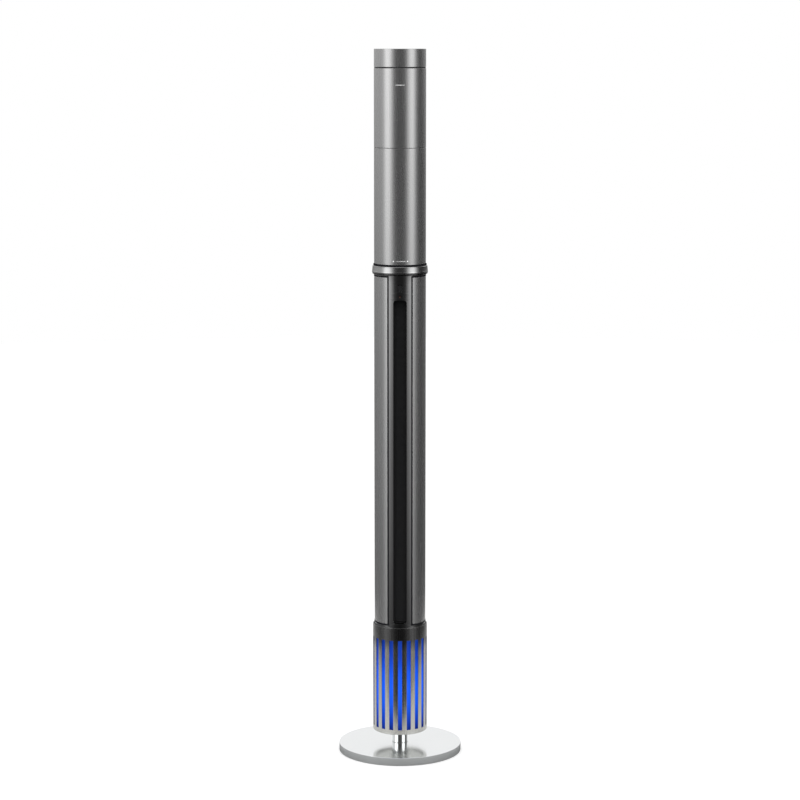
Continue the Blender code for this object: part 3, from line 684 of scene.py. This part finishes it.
def make_base():
    """The polished cover with its satin side, the rubber foot and the pole's tube."""
    wall = 0.0015
    bore = 0.0060
    edge = 0.0006
    foot_bore = 0.084
    pole_wall = 0.002
    rim = low("base_cover")
    outline = [
        (bore, BASE_TOP - wall, 0),
        (BASE_R - wall, BASE_TOP - wall, 0),
        (BASE_R - wall, rim, 0.0003),
        (BASE_R, rim, 0.0004),
        (BASE_R, BASE_TOP, edge),
        (bore, BASE_TOP, 0.0002),
    ]
    cover = turned("base_shell", outline, "base", "base_polish", ["base_cover"], segments=256)
    cover.data.materials.append(BASE_SIDE)
    for face in cover.data.polygons:
        middle = Vector((face.center.x, face.center.y))
        if middle.length > BASE_R - wall and face.center.z < BASE_TOP - edge * 0.8:
            face.material_index = 1
    tube("foot_pad", "foot_ring", foot_bore, "base", "rubber", 0.0006)
    tube("pole_tube", "pole", radius("pole") - pole_wall, "base", "chrome", segments=96)


# Lit cage

def make_cage():
    """The slotted sleeve, the light tube inside it, its floor and the bush round the pole."""
    half = math.degrees(math.asin(SLOT_HALF_W / CAGE_R))
    pitch = 360 / SLOTS
    across_slot, across_rib = 4, 5
    angles = []
    for slot in range(SLOTS):
        middle = slot * pitch
        angles += spread(middle - half, middle + half, across_slot)
        angles += spread(middle + half, middle + pitch - half, across_rib)[1:-1]
    angles.append(angles[0] + 360)
    outline = [
        (CAGE_BORE_R, CAGE_LOW, 0),
        (CAGE_R, CAGE_LOW, 0.0018),
        (CAGE_R, SLOT_LOW, 0),
        (CAGE_R, SLOT_TOP, 0),
        (CAGE_R, CAGE_TOP, 0.0003),
        (CAGE_R - 0.0016, CAGE_TOP, 0),
    ]
    profile = fillet(outline, closed=False)
    rows = [[(a, r, z) for a in angles] for r, z in profile]
    open_level = next(i for i, (r, z) in enumerate(profile) if abs(z - SLOT_LOW) < 1e-6)

    def keep(column, level):
        return level != open_level or column % (across_slot + across_rib) >= across_slot

    skin = Skin()
    skin.patch(rows, keep)
    cage = piece("cage_shell", skin.mesh, "tower", "nickel", ["cage_sleeve"])
    thicken(cage, CAGE_WALL, 0.0003)

    tube("light_tube", "light_diffuser", LIGHT_BORE_R, "tower", "blue_diffuser")
    floor_low, floor_top, floor_r = low("cage_floor"), top("cage_floor"), radius("cage_floor")
    floor_bore = 0.0158
    groove_depth = 0.0006
    groove_bed = floor_low + groove_depth
    outline = [
        (floor_bore, floor_low, 0.0003),
        (0.0200, floor_low, 0.0004),
        (0.0206, groove_bed, 0.0004),
        (0.0340, groove_bed, 0.0004),
        (0.0346, floor_low, 0.0004),
        (floor_r, floor_low, 0.0004),
        (floor_r, floor_top, 0.0004),
        (floor_bore, floor_top, 0),
    ]
    turned("cage_underside", outline, "tower", "nickel", ["cage_floor"])
    bush_low, bush_top = low("floor_bush"), top("floor_bush")
    inner = radius("pole") + 0.0002
    neck_r, flange_r = 0.0155, 0.0180
    outline = [
        (inner, bush_low, 0.0003),
        (neck_r, bush_low, 0.0005),
        (neck_r, floor_top + GAP, 0),
        (flange_r, floor_top + GAP, 0.0003),
        (flange_r, bush_top, 0.0003),
        (inner, bush_top, 0.0003),
    ]
    turned("pole_bush", outline, "tower", "white_plastic", ["floor_bush"])


# Column

def strip_levels(hole, level_low, level_top, count):
    """Heights down the side of a holed patch, close together where the hole's corners are."""
    height, half_w, half_h, corner = hole
    rise = [half_h - corner + corner * math.sin(math.radians(a)) for a in (0, 15, 30, 45, 60, 78)]
    inside = sorted(set(spread(corner - half_h, half_h - corner, count) + rise + [-z for z in rise]))
    levels = [level_low]
    for z in inside:
        room = (level_top if z > 0 else level_low) - height
        levels.append(height + z / half_h * abs(room))
    return levels + [level_top]


def make_column_frame():
    """One wall: foot, front strip with its openings, rear apron, and the flare under the ring."""
    strip = spread(-STRIP_EDGE, STRIP_EDGE, 26)
    right = spread(STRIP_EDGE, GRILLE_EDGE, 60)
    apron = spread(GRILLE_EDGE, 360 - GRILLE_EDGE, 26)
    left = spread(360 - GRILLE_EDGE, 360 - STRIP_EDGE, 60)
    foot_low = CAGE_TOP + GAP
    flare = fillet([
        (COLUMN_R, FLARE_LOW, 0),
        (COLUMN_R + 0.0002, FLARE_LOW + 0.0021, 0.0006),
        (COLUMN_R + 0.0008, FLARE_LOW + 0.0031, 0.0004),
        (FLARE_R, FRAME_TOP - 0.0006, 0.0002),
        (FLARE_R, FRAME_TOP, 0.0001),
        (SEAT_R, FRAME_TOP, 0),
    ], closed=False)
    skin = Skin()
    for zone in (strip, right, apron, left):
        skin.sweep(zone, [(SEAT_R, foot_low), (COLUMN_R, foot_low), (COLUMN_R, SHOULDER)])
        skin.sweep(zone, flare)
    ledge = [(SEAT_R, PANEL_TOP - 0.0006), (SEAT_R, FLARE_LOW), (COLUMN_R, FLARE_LOW)]
    for zone in (right, left):
        skin.sweep(zone, [(COLUMN_R, SHOULDER), (SEAT_R, SHOULDER), (SEAT_R, SEAT_TOP)])
        skin.sweep(zone, ledge)
    skin.sweep(apron, ledge)
    inlet_levels = strip_levels(INLET_HOLE, SHOULDER, APRON_TOP, 8)
    skin.holed(apron, inlet_levels, INLET_HOLE, COLUMN_R)
    outlet_top = OUTLET[0] + OUTLET[2] + 0.0024
    lens_top = LENS_HOLE[0] + 0.0036
    button_top = BUTTON_HOLE[0] + 0.0096
    skin.holed(strip, strip_levels(OUTLET, SHOULDER, outlet_top, 24), OUTLET, COLUMN_R)
    skin.holed(strip, spread(outlet_top, lens_top, 8), LENS_HOLE, COLUMN_R, 6)
    skin.holed(strip, spread(lens_top, button_top, 12), BUTTON_HOLE, COLUMN_R, 5)
    skin.sweep(strip, [(COLUMN_R, button_top), (COLUMN_R, FLARE_LOW)])
    for side in (-1, 1):
        post = sorted(side * edge for edge in POST_EDGES)
        skin.sweep(spread(post[0], post[1], 10), [(SEAT_R, SEAT_TOP - 0.001), (SEAT_R, PANEL_TOP)])
    column = piece("frame_shell", skin.mesh, "tower", "dark_metal", ["column_frame"])
    thicken(column, FRAME_WALL, 0.00022)


def add_bar(skin, angles, corners):
    """A closed bar round the column. Its section is (radius, height, corner radius) points."""
    section = fillet(corners, 3)
    section.append(section[0])
    skin.sweep(angles, section)
    for angle in (angles[0], angles[-1]):
        skin.face([(angle, r, z) for r, z in section[:-1]])


def make_panels():
    """Side panels, each in a C-shaped seal that fills the seams over, under and before it."""
    for side, word in ((-1, "left"), (1, "right")):
        edges = sorted(side * edge for edge in PANEL_EDGES)
        skin = Skin()
        angles = spread(edges[0], edges[1], 90)
        heights = spread(PANEL_LOW, PANEL_TOP, 12)
        skin.sweep(angles, [(COLUMN_R, z) for z in heights])
        panel = piece(f"{word}_panel_skin", skin.mesh, "tower", "gunmetal", [f"side_panel_{word}"])
        thicken(panel, PANEL_WALL, 0.00022)
        skin = Skin()
        inner, face = SEAT_R + GAP, COLUMN_R - 0.0008
        upright = spread(side * GASKET_EDGES[0], side * GASKET_EDGES[1], 6)
        around = spread(side * (GASKET_EDGES[0] + 0.1), side * PANEL_EDGES[1], 80)
        add_bar(skin, upright, ring_outline(inner - 0.0008, face, SEAL_LOW + 0.0006, SEAL_TOP - 0.0006))
        for base, crest in ((SEAL_LOW, PANEL_LOW - GAP), (PANEL_TOP + GAP, SEAL_TOP)):
            add_bar(skin, around, ring_outline(inner, SEAL_R, base, crest, 0.0005))
        bmesh.ops.recalc_face_normals(skin.mesh, faces=skin.mesh.faces)
        even_normals(piece(f"{word}_seal_bead", skin.mesh, "tower", "rubber", [f"gasket_{word}"]))


def make_outlet_guard():
    """A frame with fine louvres that lean down towards the front."""
    corner_low, corner_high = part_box("outlet_guard")
    rail = 0.0022
    louvre_half = 0.00025
    lean = 50.0
    shape = bmesh.new()
    for x in (corner_low.x, corner_high.x - rail):
        start = Vector((x, corner_low.y, corner_low.z))
        add_block(shape, start, Vector((x + rail, corner_high.y, corner_high.z)))
    for z in (corner_low.z, corner_high.z - rail):
        start = Vector((corner_low.x + rail, corner_low.y, z))
        add_block(shape, start, Vector((corner_high.x - rail, corner_high.y, z + rail)))
    count = 288
    heights = spread(corner_low.z + rail, corner_high.z - rail, count)[1:-1]
    middle_y = (corner_low.y + corner_high.y) / 2
    for z in heights:
        start = (corner_low.x + rail, middle_y - 0.0014, z - louvre_half)
        end = (corner_high.x - rail, middle_y + 0.0009, z + louvre_half)
        add_block(shape, start, end, lean)
    piece("outlet_louvres", shape, "tower", "black_plastic", ["outlet_guard"], OUTLET_BLACK)


def make_rear_grille():
    """A curved plate with rows of upright round-ended slots."""
    plate_low, plate_top = low("rear_grille"), top("rear_grille")
    tile_w, tile_h = 0.0035, 0.0150
    slot_half_w, slot_half_h = 0.0011, 0.0064
    columns, rows = 9, 34
    degrees = math.degrees(1 / COLUMN_R)
    half = columns * tile_w / 2 * degrees
    start = plate_low + 0.0090
    edges = (GRILLE_EDGE, 180 - half, 180 + half, 360 - GRILLE_EDGE)
    steps = 6
    inner_angles = spread(edges[1], edges[2], columns * steps)
    margins = (spread(edges[0], edges[1], 5), spread(edges[2], edges[3], 5))
    skin = Skin()
    level_steps = 8
    inner_levels = spread(start, start + rows * tile_h, rows * level_steps)
    for angles in margins:
        skin.sweep(angles, [(COLUMN_R, z) for z in inner_levels])
    every = margins[0] + inner_angles[1:-1] + margins[1]
    skin.sweep(every, [(COLUMN_R, plate_low), (COLUMN_R, start)])
    skin.sweep(every, [(COLUMN_R, inner_levels[-1]), (COLUMN_R, plate_top)])
    for column in range(columns):
        angles = inner_angles[column * steps:(column + 1) * steps + 1]
        for row in range(rows):
            levels = inner_levels[row * level_steps:(row + 1) * level_steps + 1]
            middle = (levels[0] + levels[-1]) / 2
            slot = (middle, slot_half_w, slot_half_h, slot_half_w)
            skin.holed(angles, levels, slot, COLUMN_R, 1)
    grille = piece("intake_grille", skin.mesh, "tower", "dark_metal", ["rear_grille"])
    thicken(grille, PANEL_WALL, 0.0002, 1)


def make_screw(number):
    """A domed head with a cross recess."""
    node = f"grille_screw_{number}"
    corner_low, corner_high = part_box(node)
    middle = (corner_low + corner_high) / 2
    angle = math.degrees(math.atan2(middle.x, -middle.y))
    outward = Vector((*turn_to(angle, 1.0), 0.0))
    tip_r = 0.0392
    bar_half, bar_thin = 0.0013, 0.00022
    head = fillet([
        (0.0, 0.0, 0), (0.0013, 0.0, 0), (0.0013, 0.0046, 0), (0.0026, 0.0046, 0.0001),
        (0.0026, 0.0050, 0.0003), (0.0016, 0.0054, 0.0006), (0.0, 0.0054, 0),
    ], closed=False)
    skin = Skin()
    skin.sweep(spread(0, 360, 32), head)
    spin = outward.to_track_quat("Z", "Y").to_matrix().to_4x4()
    tip = outward * tip_r
    spin.translation = (tip.x, tip.y, middle.z)
    bmesh.ops.transform(skin.mesh, verts=skin.mesh.verts, matrix=spin)
    screw = piece(f"cross_screw_{number}", skin.mesh, "tower", "steel", [node])
    cross = bmesh.new()
    for wide, tall in ((bar_half, bar_thin), (bar_thin, bar_half)):
        add_block(cross, (-wide, -tall, 0.0049), (wide, tall, 0.0060))
    bmesh.ops.transform(cross, verts=cross.verts, matrix=spin)
    mesh = bpy.data.meshes.new("recess")
    cross.to_mesh(mesh)
    cross.free()
    cutter = link(f"recess_cutter_{number}", mesh)
    recess = screw.modifiers.new("Recess", "BOOLEAN")
    recess.object = cutter
    recess.use_self = True
    apply_modifiers(screw)
    bpy.data.objects.remove(cutter)


def apply_modifiers(obj):
    """Makes the evaluated mesh the object's own."""
    graph = bpy.context.evaluated_depsgraph_get()
    made = bpy.data.meshes.new_from_object(obj.evaluated_get(graph))
    obj.modifiers.clear()
    obj.data = made


def make_front_controls():
    """The push button with its dished face, and the domed lens under it."""
    height, half_w, half_h, corner = BUTTON_HOLE
    front = low_y("power_button")
    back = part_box("power_button")[1].y
    lens_r = 0.0015
    lens_back = -0.0390
    outline = pill(half_w - GAP, half_h - GAP, corner - GAP)
    levels = (
        (back, 1.0), (front + 0.0004, 1.0), (front + 0.00012, 0.97), (front, 0.90),
        (front, 0.80), (front + 0.00010, 0.66), (front + 0.00016, 0.40),
    )
    shape = front_stack(outline, levels, height)
    even_normals(piece("button_cap", shape, "button", "black_plastic", ["power_button"], OUTLET_BLACK))
    outline = pill(lens_r, lens_r, lens_r)
    front = low_y("status_lens")
    levels = ((lens_back, 1.0), (front + 0.0004, 1.0), (front + 0.0001, 0.80), (front, 0.35))
    shape = front_stack(outline, levels, LENS_HOLE[0])
    even_normals(piece("lens_bead", shape, "tower", "smoked_lens", ["status_lens"]))


# Ring and sleeves

def make_ring():
    """A diamond-knurled band over a polished lower rim."""
    bore = 0.0413
    teeth = 146
    depth = 0.00011
    rim_top = RING_LOW + 0.0020
    band_low, band_top = rim_top + 0.0002, RING_TOP - 0.0009
    taper = RING_TAPER / (RING_TOP - rim_top)
    groove_r = RING_R - 0.0005
    angles = spread(0, 360, 2 * teeth)

    def wall_at(z):
        return RING_R - 0.0001 - taper * (z - rim_top)

    crown_r = wall_at(band_top) + 0.0001
    rim = fillet([
        (bore, RING_LOW, 0),
        (RING_R, RING_LOW, 0.0004),
        (RING_R, rim_top, 0.0001),
        (groove_r, rim_top, 0),
        (groove_r, band_low, 0),
        (wall_at(band_low), band_low, 0),
    ], closed=False)
    crown = fillet([
        (wall_at(band_top), band_top, 0),
        (crown_r - 0.0004, band_top + 0.0001, 0),
        (crown_r, band_top + 0.0002, 0.0001),
        (crown_r - 0.0002, RING_TOP, 0.0004),
        (bore, RING_TOP, 0),
        (bore, RING_LOW, 0),
    ], closed=False)
    skin = Skin()
    skin.sweep(angles, rim)
    skin.sweep(angles, crown)
    rows = []
    levels = 8
    for level, z in enumerate(spread(band_low, band_top, levels)):
        row = []
        for i, a in enumerate(angles):
            sunk = (i + level) % 2 and 0 < level < levels
            row.append((a, wall_at(z) - (depth if sunk else 0.0), z))
        rows.append(row)
    skin.patch(rows)
    ring = piece("knurled_ring", skin.mesh, "ring", "ring_metal", ["control_ring"], smooth=12)
    ring.data.materials.append(RING_POLISH)
    for face in ring.data.polygons:
        if not band_low - 0.00005 < face.center.z < band_top + 0.00005:
            face.material_index = 1
    seal_bore = 0.0412
    tube("seal_bead", "ring_seal", seal_bore, "tower", "rubber", 0.0005)


def make_sleeves():
    """Both sleeves, the tray that closes the upper one, and the felt pad in the tray."""
    bore = COLUMN_R - SLEEVE_WALL
    for word in ("lower", "upper"):
        tube(f"{word}_sleeve_skin", f"{word}_sleeve", bore, "tower", "gunmetal")
    tray_low, tray_top = low("fragrance_tray"), top("fragrance_tray")
    lip = radius("fragrance_tray")
    lip_low = top("upper_sleeve") + GAP
    wall = COLUMN_R - SLEEVE_WALL - GAP
    well_r, well_floor = 0.0402, tray_low + 0.0017
    outline = [
        (0.0, tray_low, 0),
        (wall, tray_low, 0.0006),
        (wall, lip_low, 0),
        (lip, lip_low, 0.0003),
        (lip, tray_top, 0.0004),
        (well_r, tray_top, 0.0004),
        (well_r, well_floor, 0.0008),
        (0.0, well_floor, 0),
    ]
    turned("scent_tray", outline, "tower", "black_plastic", ["fragrance_tray"])
    pad_low, pad_top = low("fragrance_pad"), top("fragrance_pad")
    pad_r = radius("fragrance_pad")
    outline = [
        (0.0, pad_low, 0),
        (pad_r, pad_low, 0.0008),
        (pad_r, pad_top - 0.0002, 0.0012),
        (pad_r - 0.004, pad_top, 0.0010),
        (0.0, pad_top, 0),
    ]
    pad = turned("scent_pad", outline, "tower", "felt", ["fragrance_pad"])


def make_cap():
    """The hollow cap on its spigot, and the ring of rubber round the spigot."""
    reach = radius("top_cap")
    foot = low("top_cap")
    inner = SPIGOT_R - SPIGOT_WALL
    roof = HEIGHT - CAP_TOP_WALL
    outline = [
        (0.0, roof, 0),
        (inner, roof, 0.001),
        (inner, foot, 0.0002),
        (SPIGOT_R, foot, 0.0004),
        (SPIGOT_R, CAP_LOW, 0.0003),
        (reach, CAP_LOW, 0.0003),
        (reach, HEIGHT, 0.0006),
        (0.0, HEIGHT, 0),
    ]
    turned("cap_shell", outline, "cap", "gunmetal", ["top_cap"], CAP_METAL)
    tube("cap_o_ring", "cap_seal", SPIGOT_R + GAP, "cap", "rubber", 0.0006)


# Marks and the inlet

def add_dot(skin, angle, width, level):
    """A thin round mark on the sleeve."""
    half = math.degrees(width / 2 / COLUMN_R)
    turns = spread(0, 2 * math.pi, 16)
    rim = [(angle + half * math.cos(t), MARK_R, level + width / 2 * math.sin(t)) for t in turns]
    for one, other in zip(rim, rim[1:]):
        skin.face(((angle, MARK_R, level), one, other))


def add_stroke(skin, angle, width, height, level):
    """A thin upright or flat mark on the sleeve, its width along the wall."""
    half = math.degrees(width / 2 / COLUMN_R)
    angles = spread(angle - half, angle + half, max(1, round(half)))
    skin.sweep(angles, [(MARK_R, level - height / 2), (MARK_R, level + height / 2)])


def finish_mark(name, skin):
    """A printed mark, which stands for no CAD node."""
    thicken(piece(name, skin.mesh, "tower", look=PALE_PRINT), 0.00012, 0.00002, 1)


def make_marks():
    """A plain speed scale between two dots over the ring, and a plain bar near the top."""
    level = 0.8493
    middle, to_dot, to_end = 1.2, 15.8, 9.6
    skin = Skin()
    for side in (-1, 1):
        add_dot(skin, middle + side * to_dot, 0.0021, level)
    gaps = 8
    for i, angle in enumerate(spread(middle - to_end, middle + to_end, gaps)):
        add_stroke(skin, angle, 0.0007, 0.0006 + 0.0011 * i / gaps, level)
    finish_mark("speed_scale", skin)
    skin = Skin()
    add_stroke(skin, 0.0, 0.0150, 0.0007, 1.1405)
    finish_mark("plain_bar", skin)


def make_power_inlet():
    """The inlet's open box, with two round pins on its floor."""
    corner_low, corner_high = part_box("power_inlet")
    height = (corner_low.z + corner_high.z) / 2
    wall = 0.0020
    pin_x, pin_r = 0.0050, 0.0011
    half_w, half_h = corner_high.x, (corner_high.z - corner_low.z) / 2
    outer = pill(half_w, half_h, 0.0009, 4)
    inner = pill(half_w - wall, half_h - wall, 0.0012, 4)
    shape = bmesh.new()
    back, mouth, floor = corner_low.y, corner_high.y, corner_low.y + wall
    levels = ((outer, back), (outer, mouth), (inner, mouth - 0.0001), (inner, floor))
    rings = [[shape.verts.new((x, y, height + z)) for x, z in line] for line, y in levels]
    for one, other in zip(rings, rings[1:]):
        for i in range(len(one)):
            j = (i + 1) % len(one)
            shape.faces.new((one[i], one[j], other[j], other[i]))
    shape.faces.new(rings[0])
    shape.faces.new(rings[-1])
    bmesh.ops.recalc_face_normals(shape, faces=shape.faces)
    round_edges(piece("inlet_socket", shape, "tower", "black_plastic", ["power_inlet"]), 0.0003)
    for side, word in ((-1, "left"), (1, "right")):
        length = mouth - 0.002 - floor
        outline = [(0.0, 0.0, 0), (pin_r, 0.0, 0), (pin_r, length, 0.0008), (0.0, length, 0)]
        pin = fillet(outline, closed=False)
        skin = Skin()
        skin.sweep(spread(0, 360, 20), pin)
        matrix = Matrix.Translation((side * pin_x, floor, height))
        matrix = matrix @ Matrix.Rotation(math.radians(-90), 4, "X")
        bmesh.ops.transform(skin.mesh, verts=skin.mesh.verts, matrix=matrix)
        piece(f"inlet_pin_{word}", skin.mesh, "tower", "brass")


# Studio

CAMERA_AWAY = 4.07
CAMERA_UP = 1.203
CAMERA_PITCH = 8.288
LENS = 109.1
SENSOR = 36.0


def make_camera():
    data = bpy.data.cameras.new("camera")
    data.lens = LENS
    data.sensor_width = SENSOR
    data.clip_end = 60.0
    camera = bpy.data.objects.new("camera", data)
    camera.location = (0.0, -CAMERA_AWAY, CAMERA_UP)
    camera.rotation_euler = (math.radians(90 - CAMERA_PITCH), 0.0, 0.0)
    bpy.context.scene.collection.objects.link(camera)
    bpy.context.scene.camera = camera


def make_world():
    """Tall soft boxes left and right of the front, dark flags between and beside them."""
    world = bpy.data.worlds.new("studio")
    bpy.context.scene.world = world
    world.use_nodes = True
    nodes, links = world.node_tree.nodes, world.node_tree.links
    background = nodes["Background"]
    split = nodes.new("ShaderNodeSeparateXYZ")
    links.new(nodes.new("ShaderNodeTexCoord").outputs["Generated"], split.inputs[0])
    x, y, z = split.outputs

    def maths(operation, one, other=None):
        node = nodes.new("ShaderNodeMath")
        node.operation = operation
        for socket, value in zip(node.inputs, (one, other)):
            if isinstance(value, (int, float)):
                socket.default_value = value
            elif value is not None:
                links.new(value, socket)
        return node.outputs[0]

    def ranged(source, start, end, out_start=0.0, out_end=1.0, kind="SMOOTHSTEP"):
        node = nodes.new("ShaderNodeMapRange")
        node.interpolation_type = kind
        for i, value in enumerate((start, end, out_start, out_end), 1):
            node.inputs[i].default_value = value
        links.new(source, node.inputs[0])
        return node.outputs[0]

    azimuth = maths("ARCTAN2", x, maths("MULTIPLY", y, -1.0))
    share = maths("ADD", maths("DIVIDE", azimuth, 2 * math.pi), 0.5)

    def bands(stops):
        """Brightness round the horizon, from (degrees from the front, value) stops."""
        brightest = 2.5
        node = nodes.new("ShaderNodeValToRGB")
        elements = node.color_ramp.elements
        while len(elements) < len(stops):
            elements.new(0.5)
        for element, (degrees, value) in zip(elements, stops):
            element.position = degrees / 360 + 0.5
            element.color = (value / brightest,) * 3 + (1.0,)
        links.new(share, node.inputs["Fac"])
        return maths("MULTIPLY", node.outputs["Color"], brightest)

    # At eye level: a soft box on each side of a narrow dark flag, and a dark flag on the right
    level_bands = bands((
        (-180, 0.45), (-150, 0.55), (-110, 0.70), (-86, 0.72), (-76, 0.95), (-67, 2.0),
        (-60, 2.3), (-48, 2.2), (-40, 1.5), (-33, 0.75), (-25, 0.15), (-12, 0.05),
        (12, 0.05), (25, 0.15), (33, 0.75), (40, 1.5), (48, 2.0), (60, 2.0),
        (68, 1.2), (76, 0.45), (86, 0.08), (115, 0.01), (132, 0.10), (150, 0.35), (180, 0.40),
    ))
    # Lower down: the flag in front is wider, and the soft boxes are narrow and dim
    low_bands = bands((
        (-180, 0.50), (-150, 0.55), (-84, 0.55), (-74, 1.0), (-66, 1.7), (-58, 1.5),
        (-51, 0.65), (-36, 0.45), (-22, 0.15), (0, 0.08), (22, 0.15), (36, 0.45),
        (46, 0.70), (52, 1.4), (60, 1.1), (70, 0.50), (84, 0.18), (105, 0.10),
        (125, 0.25), (150, 0.40), (180, 0.50),
    ))
    mixed_bands = nodes.new("ShaderNodeMix")
    mixed_bands.data_type = "FLOAT"
    links.new(ranged(z, -0.08, -0.22, kind="LINEAR"), mixed_bands.inputs[0])
    links.new(level_bands, mixed_bands.inputs[2])
    links.new(low_bands, mixed_bands.inputs[3])
    depth = maths("EXPONENT", ranged(z, -1.0, 0.0, -11.8, 0.0, "LINEAR"))
    rise = maths("ADD", maths("MULTIPLY", depth, 0.80), 0.25)
    fading = maths("MULTIPLY", rise, ranged(z, -0.262, -0.228, 0.05, 1.0))
    bands_value = maths("MULTIPLY", mixed_bands.outputs[0], fading)
    ceiling = ranged(z, 0.38, 0.60)
    behind = maths("MULTIPLY", ranged(z, -0.02, 0.10), ranged(y, 0.15, 0.75))
    white = maths("MAXIMUM", ceiling, behind)
    mixed = nodes.new("ShaderNodeMix")
    mixed.data_type = "FLOAT"
    links.new(white, mixed.inputs[0])
    links.new(bands_value, mixed.inputs[2])
    mixed.inputs[3].default_value = 0.95
    seen = nodes.new("ShaderNodeMix")
    seen.data_type = "FLOAT"
    links.new(nodes.new("ShaderNodeLightPath").outputs["Is Camera Ray"], seen.inputs[0])
    links.new(mixed.outputs[0], seen.inputs[2])
    seen.inputs[3].default_value = 1.0
    links.new(seen.outputs[0], background.inputs["Color"])


def stage_disc(name, inner, outer, height, colour, strength):
    """A flat ring on the floor. outer gives its radius at each azimuth, in degrees."""
    skin = Skin()
    angles = spread(0, 360, 96)
    skin.patch([[(a, inner, height) for a in angles], [(a, outer(a), height) for a in angles]])
    look = Look(name, colour, 0.9, Specular_IOR_Level=0.0)
    look.put("Emission Color", (1.0, 1.0, 1.0, 1.0))
    look.put("Emission Strength", strength)
    mesh = bpy.data.meshes.new(name)
    skin.mesh.to_mesh(mesh)
    skin.mesh.free()
    mesh.materials.append(look.material)
    obj = link(name, mesh)
    return obj


def card_edge(angle):
    """The floor card reaches less far in front, so that the front stays dark."""
    nearest, growth = 0.23, 0.62
    turn = abs((angle + 180) % 360 - 180)
    return nearest + growth * (turn / 120) ** 1.35


def make_stage():
    """The pale floor, a card on it that only reflections see, and a soft lamp overhead."""
    floor_reach = 6.0
    floor = stage_disc("floor", 0.001, lambda angle: floor_reach, 0.0, (0.80, 0.80, 0.80), 0.30)
    floor.visible_glossy = False
    floor.visible_shadow = False
    card = stage_disc("floor_card", 0.12, card_edge, 0.0005, (0.0, 0.0, 0.0), 0.70)
    card.visible_camera = False
    card.visible_diffuse = False
    card.visible_shadow = False
    lamp = bpy.data.lights.new("overhead", "AREA")
    lamp.shape = "SQUARE"
    lamp.size = 2.2
    lamp.energy = 22.0
    obj = bpy.data.objects.new("overhead", lamp)
    obj.location = (0.0, -0.3, 3.0)
    obj.visible_camera = False
    obj.visible_glossy = False
    bpy.context.scene.collection.objects.link(obj)


def main():
    bpy.context.scene.view_settings.view_transform = "Standard"
    make_camera()
    make_world()
    make_stage()
    dress_nodes()
    make_base()
    make_cage()
    make_column_frame()
    make_panels()
    make_outlet_guard()
    make_rear_grille()
    make_screw(1)
    make_screw(2)
    make_front_controls()
    make_ring()
    make_sleeves()
    make_cap()
    make_marks()
    make_power_inlet()


main()
